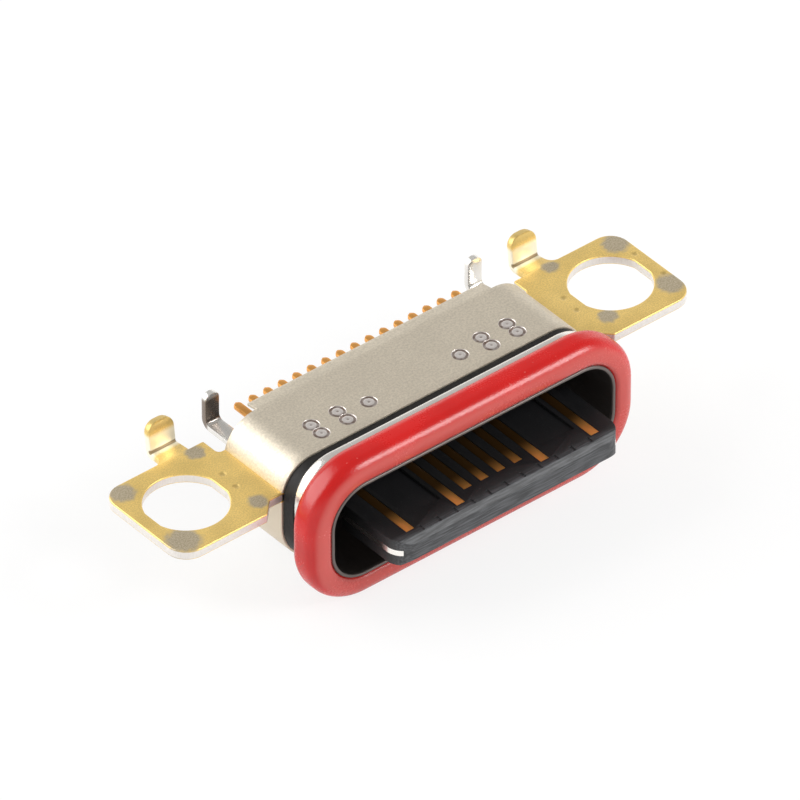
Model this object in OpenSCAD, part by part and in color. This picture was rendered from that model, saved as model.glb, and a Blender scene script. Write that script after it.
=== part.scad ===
// Sealed USB-C receptacle that sits in a board cutout and is screwed down by two stamped ears.
// +X across the port, +Y towards the solder tails, +Z up out of the board.
// The origin is midway between the two ear screw holes, on the ears' upper face, where the board seats.

/* [Port] */
// Width of the port opening at the mouth
port_w = 8.34; // [8.2:0.02:8.5]
// Height of the port opening at the mouth
port_h = 2.56; // [2.5:0.02:2.66]
// Corner radius of the port opening
port_r = 0.95; // [0.7:0.05:1.15]
// Chamfer round the mouth that leads the plug in
mouth_chamfer = 0.03; // [0.01:0.01:0.06]
// Distance from the ear screw holes forward to the mouth
mouth_reach = 2.7; // [2.6:0.05:2.9]
// Depth of the port's centre plane below the board seat
port_drop = 0.7; // [0.65:0.01:0.75]

/* [Front shell] */
// Sheet thickness of the drawn shell
shell_t = 0.09; // [0.07:0.01:0.12]
// Height of the flange lip above the tube
flange_h = 0.31; // [0.26:0.01:0.36]
// Thickness of the flange lip along the port
flange_l = 0.29; // [0.26:0.01:0.34]
// Radius on the outer edges of the flange lip
flange_r = 0.1; // [0.04:0.01:0.12]

/* [Solder legs of the front shell] */
// Width of a leg
leg_w = 0.42; // [0.3:0.02:0.44]
// Thickness of a leg
leg_t = 0.15; // [0.12:0.01:0.16]
// Distance from the middle of the port to the middle of a leg
leg_x = 3.92; // [3.88:0.01:3.95]
// Height of a leg's horizontal run above the port's centre plane
leg_z = 0.45; // [0.4:0.01:0.5]
// Distance that a leg reaches back behind the tube
leg_reach = 1.24; // [1.1:0.02:1.36]
// Height of a leg's tip above the board seat
leg_top = 0.48; // [0.4:0.02:0.6]
// Inner radius of a leg's bend
leg_bend_r = 0.12; // [0.06:0.01:0.18]

/* [Seal ring] */
// Height of the ring's section above the tube
ring_h = 0.61; // [0.5:0.01:0.66]
// Width of the ring along the port
ring_l = 0.9; // [0.8:0.02:0.96]
// Radius on the outer corners of the ring's section
ring_r = 0.35; // [0.25:0.01:0.39]
// Distance that the ring stands in front of the mouth
ring_lead = 0.03; // [0:0.01:0.06]

/* [Sealant] */
// Gap between the flange lip and the cover, filled with sealant
bead_l = 0.38; // [0.3:0.01:0.42]
// Distance that the bead lies below the cover's surface
bead_inset = 0.05; // [0.03:0.01:0.08]
// Distance from the middle at which the side fillets of sealant begin
fillet_x = 3.65; // [3.6:0.01:3.8]

/* [Top cover] */
// Sheet thickness of the cover
cover_t = 0.08; // [0.06:0.01:0.1]
// Outer radius of the cover's rounded sides
cover_r = 0.93; // [0.85:0.01:0.95]
// Length of the cover in front of its rear lip
cover_l = 2.08; // [2:0.02:2.2]
// Length of the sloping rear lip
lip_l = 0.35; // [0.2:0.01:0.4]
// Drop of the rear lip
lip_drop = 0.06; // [0.03:0.01:0.06]
// Distance from the middle to the end of the rear lip
lip_x = 3.5; // [3.3:0.02:3.55]

/* [Weld marks] */
// Outer diameter of a laser weld mark
weld_d = 0.42; // [0.34:0.02:0.44]
// Diameter of the raised middle of a weld mark
weld_inner_d = 0.22; // [0.16:0.02:0.28]
// Depth of a weld mark
weld_depth = 0.012; // [0.006:0.002:0.02]
// Spacing of the weld marks across the cover
weld_pitch_x = 0.78; // [0.7:0.02:0.8]
// Spacing of the weld marks along the cover
weld_pitch_y = 0.37; // [0.34:0.01:0.42]
// Distance from the middle to the first weld mark
weld_x = 1.36; // [1.2:0.02:1.4]
// Distance from the cover's front edge to the front weld marks
weld_setback = 0.45; // [0.36:0.01:0.6]

/* [Mounting bracket] */
// Sheet thickness of the bracket
bracket_t = 0.25; // [0.2:0.01:0.26]
// Distance between the two ear screw holes
hole_spacing = 12.66; // [12.6:0.02:12.8]
// Radius of an ear screw hole
hole_r = 1.03; // [0.98:0.01:1.07]
// Distance from a hole's centre to each of its two flats
hole_flat = 0.96; // [0.9:0.01:0.98]
// Distance from a hole's centre to the ear's outer edge
ear_out = 1.33; // [1.25:0.01:1.4]
// Distance from a hole's centre to the ear's front edge
ear_front = 1.52; // [1.45:0.01:1.6]
// Distance from a hole's centre to the ear's rear edge
ear_rear = 1.48; // [1.4:0.01:1.55]
// Radius of the ear's outer rear corner
ear_rear_r = 0.5; // [0.3:0.02:0.6]
// Radius of the ear's outer front corner
ear_front_r = 0.56; // [0.4:0.02:0.7]
// Rounded edge along the ear's front
ear_edge_r = 0.11; // [0.05:0.01:0.14]
// Width of the ear's root in front, beside the body
root_w = 0.34; // [0.28:0.01:0.42]
// Sideways run of the slanted edge at the ear's inner front corner
ear_slant = 0.36; // [0.25:0.01:0.45]
// Clear gap between the body and the ear's rear bump
bump_gap = 0.15; // [0.1:0.01:0.25]
// Distance from the ear's rear edge forward to its root's rear edge
root_setback = 0.55; // [0.45:0.01:0.6]
// Radius in the inner corner between root and bump
relief_r = 0.12; // [0.06:0.01:0.16]

/* [Solder tabs of the bracket] */
// Width of a tab
tab_w = 0.76; // [0.7:0.02:0.82]
// Thickness of a tab
tab_t = 0.2; // [0.15:0.01:0.22]
// Distance from a hole's centre inward to the middle of its tab
tab_in = 0.92; // [0.9:0.01:0.95]
// Distance from the ear's rear edge back to the tab's crease
tab_reach = 0.47; // [0.4:0.01:0.55]
// Depth of the crease below the ear's upper face
tab_dip = 0.08; // [0.04:0.01:0.1]
// Height of the tab's tip above the board seat
tab_top = 0.62; // [0.5:0.01:0.7]
// Distance that the tab leans back at its tip
tab_lean = 0.13; // [0.05:0.01:0.25]
// Radius on the corners of the tab's tip
tab_corner_r = 0.3; // [0.2:0.01:0.34]
// Radius between the tab's outer side and the ear's rear edge
tab_root_r = 0.3; // [0.2:0.02:0.4]

/* [Tongue] */
// Width of the tongue
tongue_w = 6.69; // [6.6:0.01:6.75]
// Thickness of the tongue
tongue_t = 0.7; // [0.68:0.01:0.72]
// Distance that the tongue's tip stands out of the mouth
tongue_out = 1.35; // [1.2:0.01:1.45]
// Length of the tongue from its tip to the port's rear wall
tongue_l = 4.3; // [4.2:0.01:4.45]
// Corner radius of the tip, seen from above
tip_r = 0.5; // [0.3:0.01:0.55]
// Length of the bevels on the tip
bevel_l = 0.16; // [0.08:0.01:0.2]
// Height of each bevel on the tip
bevel_h = 0.12; // [0.06:0.01:0.14]
// Depth of the latch notches in the tongue's sides
notch_depth = 0.24; // [0.15:0.01:0.28]
// Length of a latch notch
notch_l = 0.7; // [0.5:0.01:0.8]
// Distance from the tip back to a latch notch
notch_setback = 2.1; // [1.9:0.01:2.2]
// Depth of the open pockets between the outer contacts
pocket_depth = 0.06; // [0.03:0.01:0.09]
// Distance from the tip back to the pockets
pocket_setback = 0.8; // [0.7:0.01:0.9]
// Length of the pockets
pocket_l = 1.9; // [1.6:0.05:2]
// Width of a comb mark between two contacts at the tip
comb_w = 0.07; // [0.04:0.01:0.1]
// Depth of a comb mark
comb_depth = 0.03; // [0.02:0.01:0.05]

/* [Root of the tongue] */
// Thickness of the root block that carries the ground pads
root_t = 1.1; // [1:0.02:1.2]
// Length of the root block in front of the rear wall
root_l = 0.55; // [0.5:0.01:0.6]
// Thickness of the port's rear wall
wall_l = 0.2; // [0.15:0.01:0.25]
// Sheet thickness of a ground pad
pad_t = 0.08; // [0.06:0.01:0.1]
// Width of a ground pad
pad_w = 5.6; // [5:0.05:6]

/* [Mid plate] */
// Thickness of the mid plate
plate_t = 0.16; // [0.12:0.01:0.18]
// Width of the plastic tip in front of the mid plate
plate_front_w = 6.3; // [6.1:0.05:6.4]
// Distance from the tongue's tip back to the mid plate's middle
plate_setback = 0.4; // [0.3:0.01:0.5]
// Gap between the mid plate's rear edge and the contacts' risers
plate_gap = 0.1; // [0.05:0.01:0.15]

/* [Contacts] */
// Spacing of the contact positions on the tongue
contact_pitch = 0.5; // [0.49:0.01:0.51]
// Width of a contact on the tongue
contact_w = 0.25; // [0.22:0.01:0.27]
// Thickness of the contact strip
contact_t = 0.12; // [0.1:0.01:0.13]
// Distance from the tip to the front of the long contacts
long_setback = 0.35; // [0.3:0.01:0.4]
// Distance from the tip to the front of the short contacts
short_setback = 0.7; // [0.6:0.01:0.75]
// Distance from the tip to the start of the sideways jogs
jog_setback = 3.85; // [3.8:0.01:3.9]
// Length of the straight run behind the jogs, up to the risers
riser_gap = 0.06; // [0.04:0.01:0.08]
// Plastic left behind the risers, inside the tube
riser_cover = 0.05; // [0.03:0.01:0.08]

/* [Solder tails] */
// Spacing of the solder tails
tail_pitch = 0.432; // [0.42:0.002:0.44]
// Width of a solder tail
tail_w = 0.22; // [0.18:0.01:0.26]
// Distance that the tails stand above the board seat
tail_proud = 0.1; // [0:0.01:0.12]
// Distance from the rear end of the tube to the tails' tips
tail_l = 1.08; // [0.9:0.01:1.15]

/* [Carriers and potting] */
// Width of a carrier's slab inside the tongue
slab_w = 6.0; // [5.9:0.01:6.1]
// Distance from the tongue's tip back to the carriers' slabs
slab_setback = 0.5; // [0.45:0.01:0.6]
// Depth of the rear potting behind the tube
potting_l = 0.28; // [0.2:0.01:0.34]
// Gap between the potting and the cover's rear lip
potting_gap = 0.03; // [0.01:0.01:0.05]

/* [Hidden] */
$fn = 64;

// Length by which a cutting tool overshoots the face that it opens
overshoot = 0.5;
// Steps in a bend's outline
bend_steps = 10;

// Port cavity and tube, about the port's axis
axis_z = -port_drop;
cavity_hw = port_w / 2 - mouth_chamfer;
cavity_hh = port_h / 2 - mouth_chamfer;
cavity_r = port_r - mouth_chamfer;
tube_hw = cavity_hw + shell_t;
tube_hh = cavity_hh + shell_t;

// Stations along the port, from the mouth back
mouth_y = -mouth_reach;
ring_y = mouth_y - ring_lead;
flange_y = ring_y + ring_l;
bead_y = flange_y + flange_l;
cover_y = bead_y + bead_l;
tube_end_y = cover_y + cover_l;
potting_end_y = tube_end_y + potting_l;
tail_end_y = tube_end_y + tail_l;
tip_y = mouth_y - tongue_out;
wall_y = tip_y + tongue_l;
block_y = wall_y + wall_l;
root_y = wall_y - root_l;

// Body section: the cover above the board seat, the bracket's saddle below it
seat_z = 0;
body_hw = tube_hw + bracket_t;
cover_top = axis_z + tube_hh + cover_t;
saddle_bottom = axis_z - tube_hh - bracket_t;
saddle_r = cavity_r + shell_t + bracket_t;

// Ears
hole_x = hole_spacing / 2;
ear_x = hole_x + ear_out;
ear_inner_x = body_hw + root_w;
bump_x = body_hw + bump_gap;
root_rear_y = ear_rear - root_setback;
tab_x = hole_x - tab_in;

// Tongue
tongue_hw = tongue_w / 2;
tongue_ht = tongue_t / 2;
slab_top = tongue_ht - contact_t;
plate_ht = plate_t / 2;

// Contact routes, from the tongue to the tails
upper_pins = [1, 4, 5, 6, 7, 8, 9, 12];
upper_slots = [1, 3, 6, 8, 9, 11, 14, 16];
lower_slots = [15, 13, 12, 10, 7, 5, 4, 2];
middle_pin = 6.5;
middle_slot = 8.5;
short_pins = [5, 6, 7, 8];
riser_y = tube_end_y - riser_cover - contact_t;
jog_y = tip_y + jog_setback;
jog_end_y = riser_y - riser_gap;
tail_z = seat_z + tail_proud;

function is_short(pin) = len([for (p = short_pins) if (p == pin) p]) > 0;
function arc(cx, cy, r, from, to) =
    [for (i = [0 : bend_steps]) let (a = from + (to - from) * i / bend_steps) [cx + r * cos(a), cy + r * sin(a)]];

// Extrudes an X-Z outline along Y
module along_y(from, to) {
    translate([0, to, 0])
        rotate([90, 0, 0])
            linear_extrude(height = to - from)
                children();
}

// Extrudes a Y-Z outline along X
module along_x(from, to) {
    translate([from, 0, 0])
        rotate([90, 0, 90])
            linear_extrude(height = to - from)
                children();
}

// Outline with its own radius for the upper and the lower corners
module round_outline(hw, top, bottom, r_top, r_bottom) {
    middle = (top - r_top + bottom + r_bottom) / 2;
    translate([-hw, bottom + r_bottom])
        square([2 * hw, top - r_top - bottom - r_bottom]);
    translate([r_top - hw, middle])
        square([2 * (hw - r_top), top - middle]);
    translate([r_bottom - hw, bottom])
        square([2 * (hw - r_bottom), middle - bottom]);
    for (side = [-1, 1]) {
        translate([side * (hw - r_top), top - r_top])
            circle(r = r_top);
        translate([side * (hw - r_bottom), bottom + r_bottom])
            circle(r = r_bottom);
    }
}

// The cavity's outline, grown by a distance
module tube_outline(grow) {
    r = cavity_r + grow;
    round_outline(cavity_hw + grow, axis_z + cavity_hh + grow, axis_z - cavity_hh - grow, r, r);
}

// The body's outline, cover and saddle together, shrunk by a distance
module body_outline(inset) {
    round_outline(body_hw - inset, cover_top - inset, saddle_bottom + inset, cover_r - inset, saddle_r - inset);
}

// Half plane above or below a height
module above(z) {
    translate([-2 * body_hw, z])
        square([4 * body_hw, 4 * body_hw]);
}

module below(z) {
    translate([-2 * body_hw, z - 4 * body_hw])
        square([4 * body_hw, 4 * body_hw]);
}

// Sweeps a section round the tube: the section's x points outward, its y forward from the rear station
module round_tube(grow, rear_y) {
    hw = cavity_hw + grow;
    hh = cavity_hh + grow;
    r = cavity_r + grow;
    translate([0, rear_y, axis_z])
        rotate([90, 0, 0]) {
            for (quarter = [0 : 3]) {
                sx = quarter == 0 || quarter == 3 ? 1 : -1;
                sy = quarter < 2 ? 1 : -1;
                translate([sx * (hw - r), sy * (hh - r), 0])
                    rotate([0, 0, 90 * quarter])
                        rotate_extrude(angle = 90)
                            translate([r, 0])
                                children();
            }
            for (side = [0, 180]) {
                rotate([0, 0, side])
                    translate([r - hw, hh, 0])
                        rotate([90, 0, 90])
                            linear_extrude(height = 2 * (hw - r))
                                children();
                rotate([0, 0, side])
                    translate([hw, hh - r, 0])
                        rotate([90, 0, 0])
                            linear_extrude(height = 2 * (hh - r))
                                children();
            }
        }
}

// Section with rounded outer corners, for the flange lip and the seal ring
module lip_section(height, length, r) {
    square([height - r, length]);
    translate([0, r])
        square([height, length - 2 * r]);
    for (y = [r, length - r])
        translate([height - r, y])
            circle(r = r);
}

// Side view of a leg: back from the tube, then up through the board
module leg_outline() {
    bottom = axis_z + leg_z;
    back = tube_end_y + leg_reach;
    outer_r = leg_bend_r + leg_t;
    polygon(concat(
        [[tube_end_y, bottom + leg_t], [tube_end_y, bottom]],
        arc(back - outer_r, bottom + outer_r, outer_r, -90, 0),
        [[back, leg_top], [back - leg_t, leg_top]],
        arc(back - outer_r, bottom + outer_r, leg_bend_r, 0, -90)
    ));
}

// Front view of a leg: full width below, rounded tip above
module leg_front() {
    half = leg_w / 2;
    bottom = axis_z + leg_z;
    translate([leg_x - half, bottom])
        square([leg_w, leg_top - half - bottom]);
    translate([leg_x, leg_top - half])
        circle(r = half);
}

module leg() {
    root_l = leg_t;
    intersection() {
        along_x(leg_x - leg_w / 2, leg_x + leg_w / 2)
            leg_outline();
        along_y(tube_end_y, tube_end_y + leg_reach)
            leg_front();
    }
    translate([leg_x, tube_end_y, axis_z + leg_z])
        cube([tube_hw - shell_t / 2 - leg_x, root_l, leg_t]);
}

module front_shell() {
    color("gainsboro") {
        difference() {
            union() {
                along_y(mouth_y, tube_end_y)
                    tube_outline(shell_t);
                round_tube(shell_t, bead_y)
                    lip_section(flange_h, flange_l, flange_r);
            }
            along_y(mouth_y - overshoot, tube_end_y + overshoot)
                tube_outline(0);
            round_tube(0, mouth_y + mouth_chamfer)
                polygon([[0, 0], [mouth_chamfer, mouth_chamfer], [0, mouth_chamfer]]);
        }
        leg();
        mirror([1, 0, 0])
            leg();
    }
}

module seal_ring() {
    color("crimson")
        round_tube(shell_t, flange_y)
            lip_section(ring_h, ring_l, ring_r);
}

// Sealant between the tube's corner and the cover's rounded side, above the board seat
module side_fillet_outline() {
    difference() {
        intersection() {
            translate([body_hw - cover_r, cover_top - cover_r])
                circle(r = cover_r - cover_t);
            translate([fillet_x, seat_z])
                square([body_hw - fillet_x, cover_top - seat_z]);
        }
        translate([cavity_hw - cavity_r, axis_z + cavity_hh - cavity_r])
            circle(r = cavity_r + shell_t);
    }
}

module sealant_bead() {
    color([0.12, 0.11, 0.11])
        along_y(bead_y, cover_y)
            difference() {
                body_outline(bead_inset);
                tube_outline(shell_t);
            }
}

module side_sealant() {
    color([0.12, 0.11, 0.11])
        for (side = [0, 1])
            mirror([side, 0, 0])
                along_y(cover_y, tube_end_y)
                    side_fillet_outline();
}

module weld_mark(x, y) {
    translate([x, y, cover_top - weld_depth])
        difference() {
            cylinder(d = weld_d, h = overshoot);
            cylinder(d = weld_inner_d, h = weld_depth);
        }
}

module weld_marks() {
    row_y = cover_y + weld_setback;
    for (side = [-1, 1]) {
        weld_mark(side * weld_x, row_y + weld_pitch_y / 2);
        for (column = [1, 2], row = [0, 1])
            weld_mark(side * (weld_x + column * weld_pitch_x), row_y + row * weld_pitch_y);
    }
}

module rear_lip() {
    top = cover_top;
    end_y = tube_end_y + lip_l;
    along_x(-lip_x, lip_x)
        polygon([
            [tube_end_y, top], [tube_end_y, top - cover_t],
            [end_y, top - cover_t - lip_drop], [end_y, top - lip_drop]
        ]);
}

module top_cover() {
    color("silver") {
        difference() {
            along_y(cover_y, tube_end_y)
                intersection() {
                    difference() {
                        body_outline(0);
                        body_outline(cover_t);
                    }
                    above(seat_z);
                }
            weld_marks();
        }
        rear_lip();
    }
}

// Rounded inner corner behind a rear edge, on one side of a part that stands out of it
module inner_corner(x, y, r, side) {
    translate([x + side * r, y + r])
        difference() {
            translate([side > 0 ? -r : 0, -r])
                square(r);
            circle(r = r);
        }
}

// One ear seen from above: screw lug, root beside the body and the bump next to the tab
module ear_outline() {
    difference() {
        union() {
            polygon([
                [tube_hw, cover_y], [ear_inner_x, cover_y], [ear_inner_x + ear_slant, -ear_front],
                [ear_x - ear_front_r, -ear_front], [ear_x - ear_front_r, root_rear_y], [tube_hw, root_rear_y]
            ]);
            translate([hole_x, ear_front_r - ear_front])
                square([ear_x - hole_x, ear_front + ear_rear - ear_front_r - ear_rear_r]);
            translate([ear_x - ear_front_r, ear_front_r - ear_front])
                circle(r = ear_front_r);
            translate([bump_x, 0])
                square([ear_x - ear_rear_r - bump_x, ear_rear]);
            translate([ear_x - ear_rear_r, ear_rear - ear_rear_r])
                circle(r = ear_rear_r);
            inner_corner(bump_x, root_rear_y, relief_r, -1);
            inner_corner(tab_x + tab_w / 2, ear_rear, tab_root_r, 1);
        }
        translate([ear_x - ear_rear_r, ear_rear - ear_rear_r])
            difference() {
                square([2 * ear_rear_r, 2 * ear_rear_r]);
                circle(r = ear_rear_r);
            }
    }
}

// Round screw hole with two flats that stop the screw's washer from turning
module ear_hole() {
    translate([hole_x, 0, -bracket_t - overshoot])
        intersection() {
            cylinder(r = hole_r, h = bracket_t + 2 * overshoot);
            translate([-hole_flat, -2 * hole_r, 0])
                cube([2 * hole_flat, 4 * hole_r, bracket_t + 2 * overshoot]);
        }
}

// Takes the sharp upper edge off the ear's front
module ear_front_edge() {
    translate([0, -ear_front, seat_z])
        along_x(ear_inner_x - overshoot, ear_x + overshoot)
            difference() {
                translate([-overshoot, -ear_edge_r])
                    square([ear_edge_r + overshoot, ear_edge_r + overshoot]);
                translate([ear_edge_r, -ear_edge_r])
                    circle(r = ear_edge_r);
            }
}

// Side view of a solder tab: down into the crease, then up and leaning back
module tab_outline() {
    crease_y = ear_rear + tab_reach;
    crease_z = seat_z - tab_dip;
    polygon([
        [ear_rear - tab_t, seat_z], [ear_rear, seat_z], [crease_y, crease_z], [crease_y + tab_lean, tab_top],
        [crease_y + tab_lean + tab_t, tab_top], [crease_y + tab_t, crease_z], [crease_y, crease_z - tab_t],
        [ear_rear, seat_z - bracket_t], [ear_rear - tab_t, seat_z - bracket_t]
    ]);
}

module tab_front() {
    half = tab_w / 2;
    foot = seat_z - bracket_t - tab_dip - tab_t;
    translate([tab_x - half, foot])
        square([tab_w, tab_top - tab_corner_r - foot]);
    translate([tab_x - half + tab_corner_r, foot])
        square([tab_w - 2 * tab_corner_r, tab_top - foot]);
    for (side = [-1, 1])
        translate([tab_x + side * (half - tab_corner_r), tab_top - tab_corner_r])
            circle(r = tab_corner_r);
}

module ear() {
    difference() {
        translate([0, 0, seat_z - bracket_t])
            linear_extrude(height = bracket_t)
                ear_outline();
        ear_hole();
        ear_front_edge();
    }
    intersection() {
        along_x(tab_x - tab_w / 2, tab_x + tab_w / 2)
            tab_outline();
        along_y(ear_rear - tab_t, ear_rear + tab_reach + tab_lean + tab_t)
            tab_front();
    }
}

module mounting_bracket() {
    color("goldenrod")
        difference() {
            union() {
                along_y(cover_y, tube_end_y)
                    intersection() {
                        body_outline(0);
                        below(seat_z);
                    }
                ear();
                mirror([1, 0, 0])
                    ear();
            }
            along_y(cover_y - overshoot, tube_end_y + overshoot)
                tube_outline(shell_t);
        }
}

// The tongue seen from above, with its rounded tip and the two latch notches
module tongue_plan(front, rear) {
    difference() {
        union() {
            translate([tip_r - tongue_hw, front])
                square([tongue_w - 2 * tip_r, rear - front]);
            translate([-tongue_hw, front + tip_r])
                square([tongue_w, rear - front - tip_r]);
            for (side = [-1, 1])
                translate([side * (tongue_hw - tip_r), front + tip_r])
                    circle(r = tip_r);
        }
        for (side = [0, 1])
            mirror([side, 0])
                translate([tongue_hw - notch_depth, tip_y + notch_setback])
                    square([2 * notch_depth, notch_l]);
    }
}

// The tongue seen from the side, with its bevelled tip and the thicker root
module tongue_side() {
    polygon([
        [tip_y, bevel_h - tongue_ht], [tip_y + bevel_l, -tongue_ht], [root_y, -tongue_ht],
        [root_y, -root_t / 2], [wall_y + wall_l, -root_t / 2], [wall_y + wall_l, root_t / 2],
        [root_y, root_t / 2], [root_y, tongue_ht], [tip_y + bevel_l, tongue_ht], [tip_y, tongue_ht - bevel_h]
    ]);
}

module port_height() {
    translate([0, 0, axis_z])
        children();
}

// Open pockets in the skin where the smaller contact set leaves positions free
module pockets() {
    outer = (upper_pins[0] - middle_pin) * contact_pitch;
    inner = (upper_pins[1] - middle_pin) * contact_pitch;
    for (side = [0, 1], face = [0, 1])
        mirror([side, 0, 0])
            mirror([0, 0, face])
                translate([outer + contact_w, tip_y + pocket_setback, tongue_ht - pocket_depth])
                    cube([inner - outer - 2 * contact_w, pocket_l, overshoot]);
}

// Shallow comb marks between the contact positions, just behind the bevel
module comb_marks() {
    middle_gap = floor(middle_pin);
    for (gap = [upper_pins[0] : upper_pins[7] - 1], face = [0, 1])
        mirror([0, 0, face])
            translate([(gap - middle_gap) * contact_pitch - comb_w / 2, tip_y + bevel_l, tongue_ht - comb_depth])
                cube([comb_w, long_setback - bevel_l, overshoot]);
}

module tongue_body() {
    color([0.16, 0.15, 0.15])
        difference() {
            union() {
                intersection() {
                    port_height()
                        along_x(-tongue_hw, tongue_hw)
                            tongue_side();
                    translate([0, 0, axis_z - root_t])
                        linear_extrude(height = 2 * root_t)
                            tongue_plan(tip_y, block_y);
                }
                along_y(wall_y, block_y)
                    tube_outline(0);
            }
            port_height() {
                pockets();
                comb_marks();
            }
            mid_plate();
            carrier_slab(1);
            carrier_slab(-1);
            upper_ground_pad();
            lower_ground_pad();
            upper_contacts();
            lower_contacts();
        }
}

module mid_plate() {
    rear_y = jog_end_y + riser_gap - plate_gap;
    color("lightgray")
        port_height()
            translate([0, 0, -plate_ht])
                linear_extrude(height = plate_t) {
                    difference() {
                        tongue_plan(tip_y, rear_y);
                        translate([-plate_front_w / 2, tip_y - overshoot])
                            square([plate_front_w, plate_setback + overshoot]);
                    }
                    translate([-cavity_hw, block_y])
                        square([2 * cavity_hw, rear_y - block_y]);
                }
}

// Thin slab of a carrier inside the tongue, just under its contacts
module carrier_slab(face) {
    port_height()
        mirror([0, 0, face > 0 ? 0 : 1])
            translate([-slab_w / 2, tip_y + slab_setback, plate_ht])
                cube([slab_w, block_y - tip_y - slab_setback, slab_top - plate_ht]);
}

// Block of a carrier behind the port's rear wall
module carrier_block(face) {
    along_y(block_y, tube_end_y)
        intersection() {
            tube_outline(0);
            if (face > 0)
                above(axis_z);
            else
                below(axis_z);
        }
}

module carrier(face) {
    difference() {
        union() {
            carrier_slab(face);
            carrier_block(face);
        }
        mid_plate();
        upper_contacts();
        lower_contacts();
    }
}

module upper_carrier() {
    color([0.2, 0.19, 0.19])
        carrier(1);
}

module lower_carrier() {
    color([0.2, 0.19, 0.19])
        carrier(-1);
}

// Ground pad folded over the root block's outer face and front edge
module ground_pad(face) {
    port_height()
        mirror([0, 0, face > 0 ? 0 : 1])
            along_x(-pad_w / 2, pad_w / 2)
                polygon([
                    [root_y - pad_t, tongue_ht], [root_y, tongue_ht], [root_y, root_t / 2],
                    [wall_y, root_t / 2], [wall_y, root_t / 2 + pad_t], [root_y - pad_t, root_t / 2 + pad_t]
                ]);
}

module upper_ground_pad() {
    color("lightsteelblue")
        ground_pad(1);
}

module lower_ground_pad() {
    color("lightsteelblue")
        ground_pad(-1);
}

// One contact: strip on the tongue, sideways jog, riser and solder tail with a rounded end
module contact(pin_x, slot_x, face, setback) {
    front_y = tip_y + setback;
    strip_z = face > 0 ? slab_top : -tongue_ht;
    tail_low = tail_z - contact_t - axis_z;
    half = contact_w / 2;
    tail_half = tail_w / 2;
    port_height() {
        translate([0, 0, strip_z])
            linear_extrude(height = contact_t)
                polygon([
                    [pin_x - half, front_y], [pin_x + half, front_y], [pin_x + half, jog_y],
                    [slot_x + tail_half, jog_end_y], [slot_x + tail_half, riser_y + contact_t],
                    [slot_x - tail_half, riser_y + contact_t], [slot_x - tail_half, jog_end_y],
                    [pin_x - half, jog_y]
                ]);
        translate([slot_x - tail_half, riser_y, strip_z])
            cube([tail_w, contact_t, tail_low + contact_t - strip_z]);
        translate([slot_x, 0, tail_low])
            linear_extrude(height = contact_t) {
                translate([-tail_half, riser_y])
                    square([tail_w, tail_end_y - tail_half - riser_y]);
                translate([0, tail_end_y - tail_half])
                    circle(r = tail_half);
            }
    }
}

module upper_contact(index) {
    pin = upper_pins[index];
    color("orange")
        contact((pin - middle_pin) * contact_pitch, (upper_slots[index] - middle_slot) * tail_pitch, 1,
                is_short(pin) ? short_setback : long_setback);
}

module lower_contact(index) {
    pin = upper_pins[index];
    color("orange")
        contact((middle_pin - pin) * contact_pitch, (lower_slots[index] - middle_slot) * tail_pitch, -1,
                is_short(pin) ? short_setback : long_setback);
}

module upper_contacts() {
    for (index = [0 : 7])
        upper_contact(index);
}

module lower_contacts() {
    for (index = [0 : 7])
        lower_contact(index);
}

module rear_potting() {
    color([0.1, 0.1, 0.1])
        difference() {
            along_y(tube_end_y, potting_end_y)
                intersection() {
                    tube_outline(shell_t);
                    below(cover_top - cover_t - lip_drop - potting_gap);
                }
            upper_contacts();
            lower_contacts();
            leg();
            mirror([1, 0, 0])
                leg();
        }
}

front_shell();
seal_ring();
sealant_bead();
side_sealant();
top_cover();
mounting_bracket();
tongue_body();
mid_plate();
upper_carrier();
lower_carrier();
upper_ground_pad();
lower_ground_pad();
rear_potting();
upper_contact(0);  // contact_a1
upper_contact(1);  // contact_a4
upper_contact(2);  // contact_a5
upper_contact(3);  // contact_a6
upper_contact(4);  // contact_a7
upper_contact(5);  // contact_a8
upper_contact(6);  // contact_a9
upper_contact(7);  // contact_a12
lower_contact(0);  // contact_b1
lower_contact(1);  // contact_b4
lower_contact(2);  // contact_b5
lower_contact(3);  // contact_b6
lower_contact(4);  // contact_b7
lower_contact(5);  // contact_b8
lower_contact(6);  // contact_b9
lower_contact(7);  // contact_b12
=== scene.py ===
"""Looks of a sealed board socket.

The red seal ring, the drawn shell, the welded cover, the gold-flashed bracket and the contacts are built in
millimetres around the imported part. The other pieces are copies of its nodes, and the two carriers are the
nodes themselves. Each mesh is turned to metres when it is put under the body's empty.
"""

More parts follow.
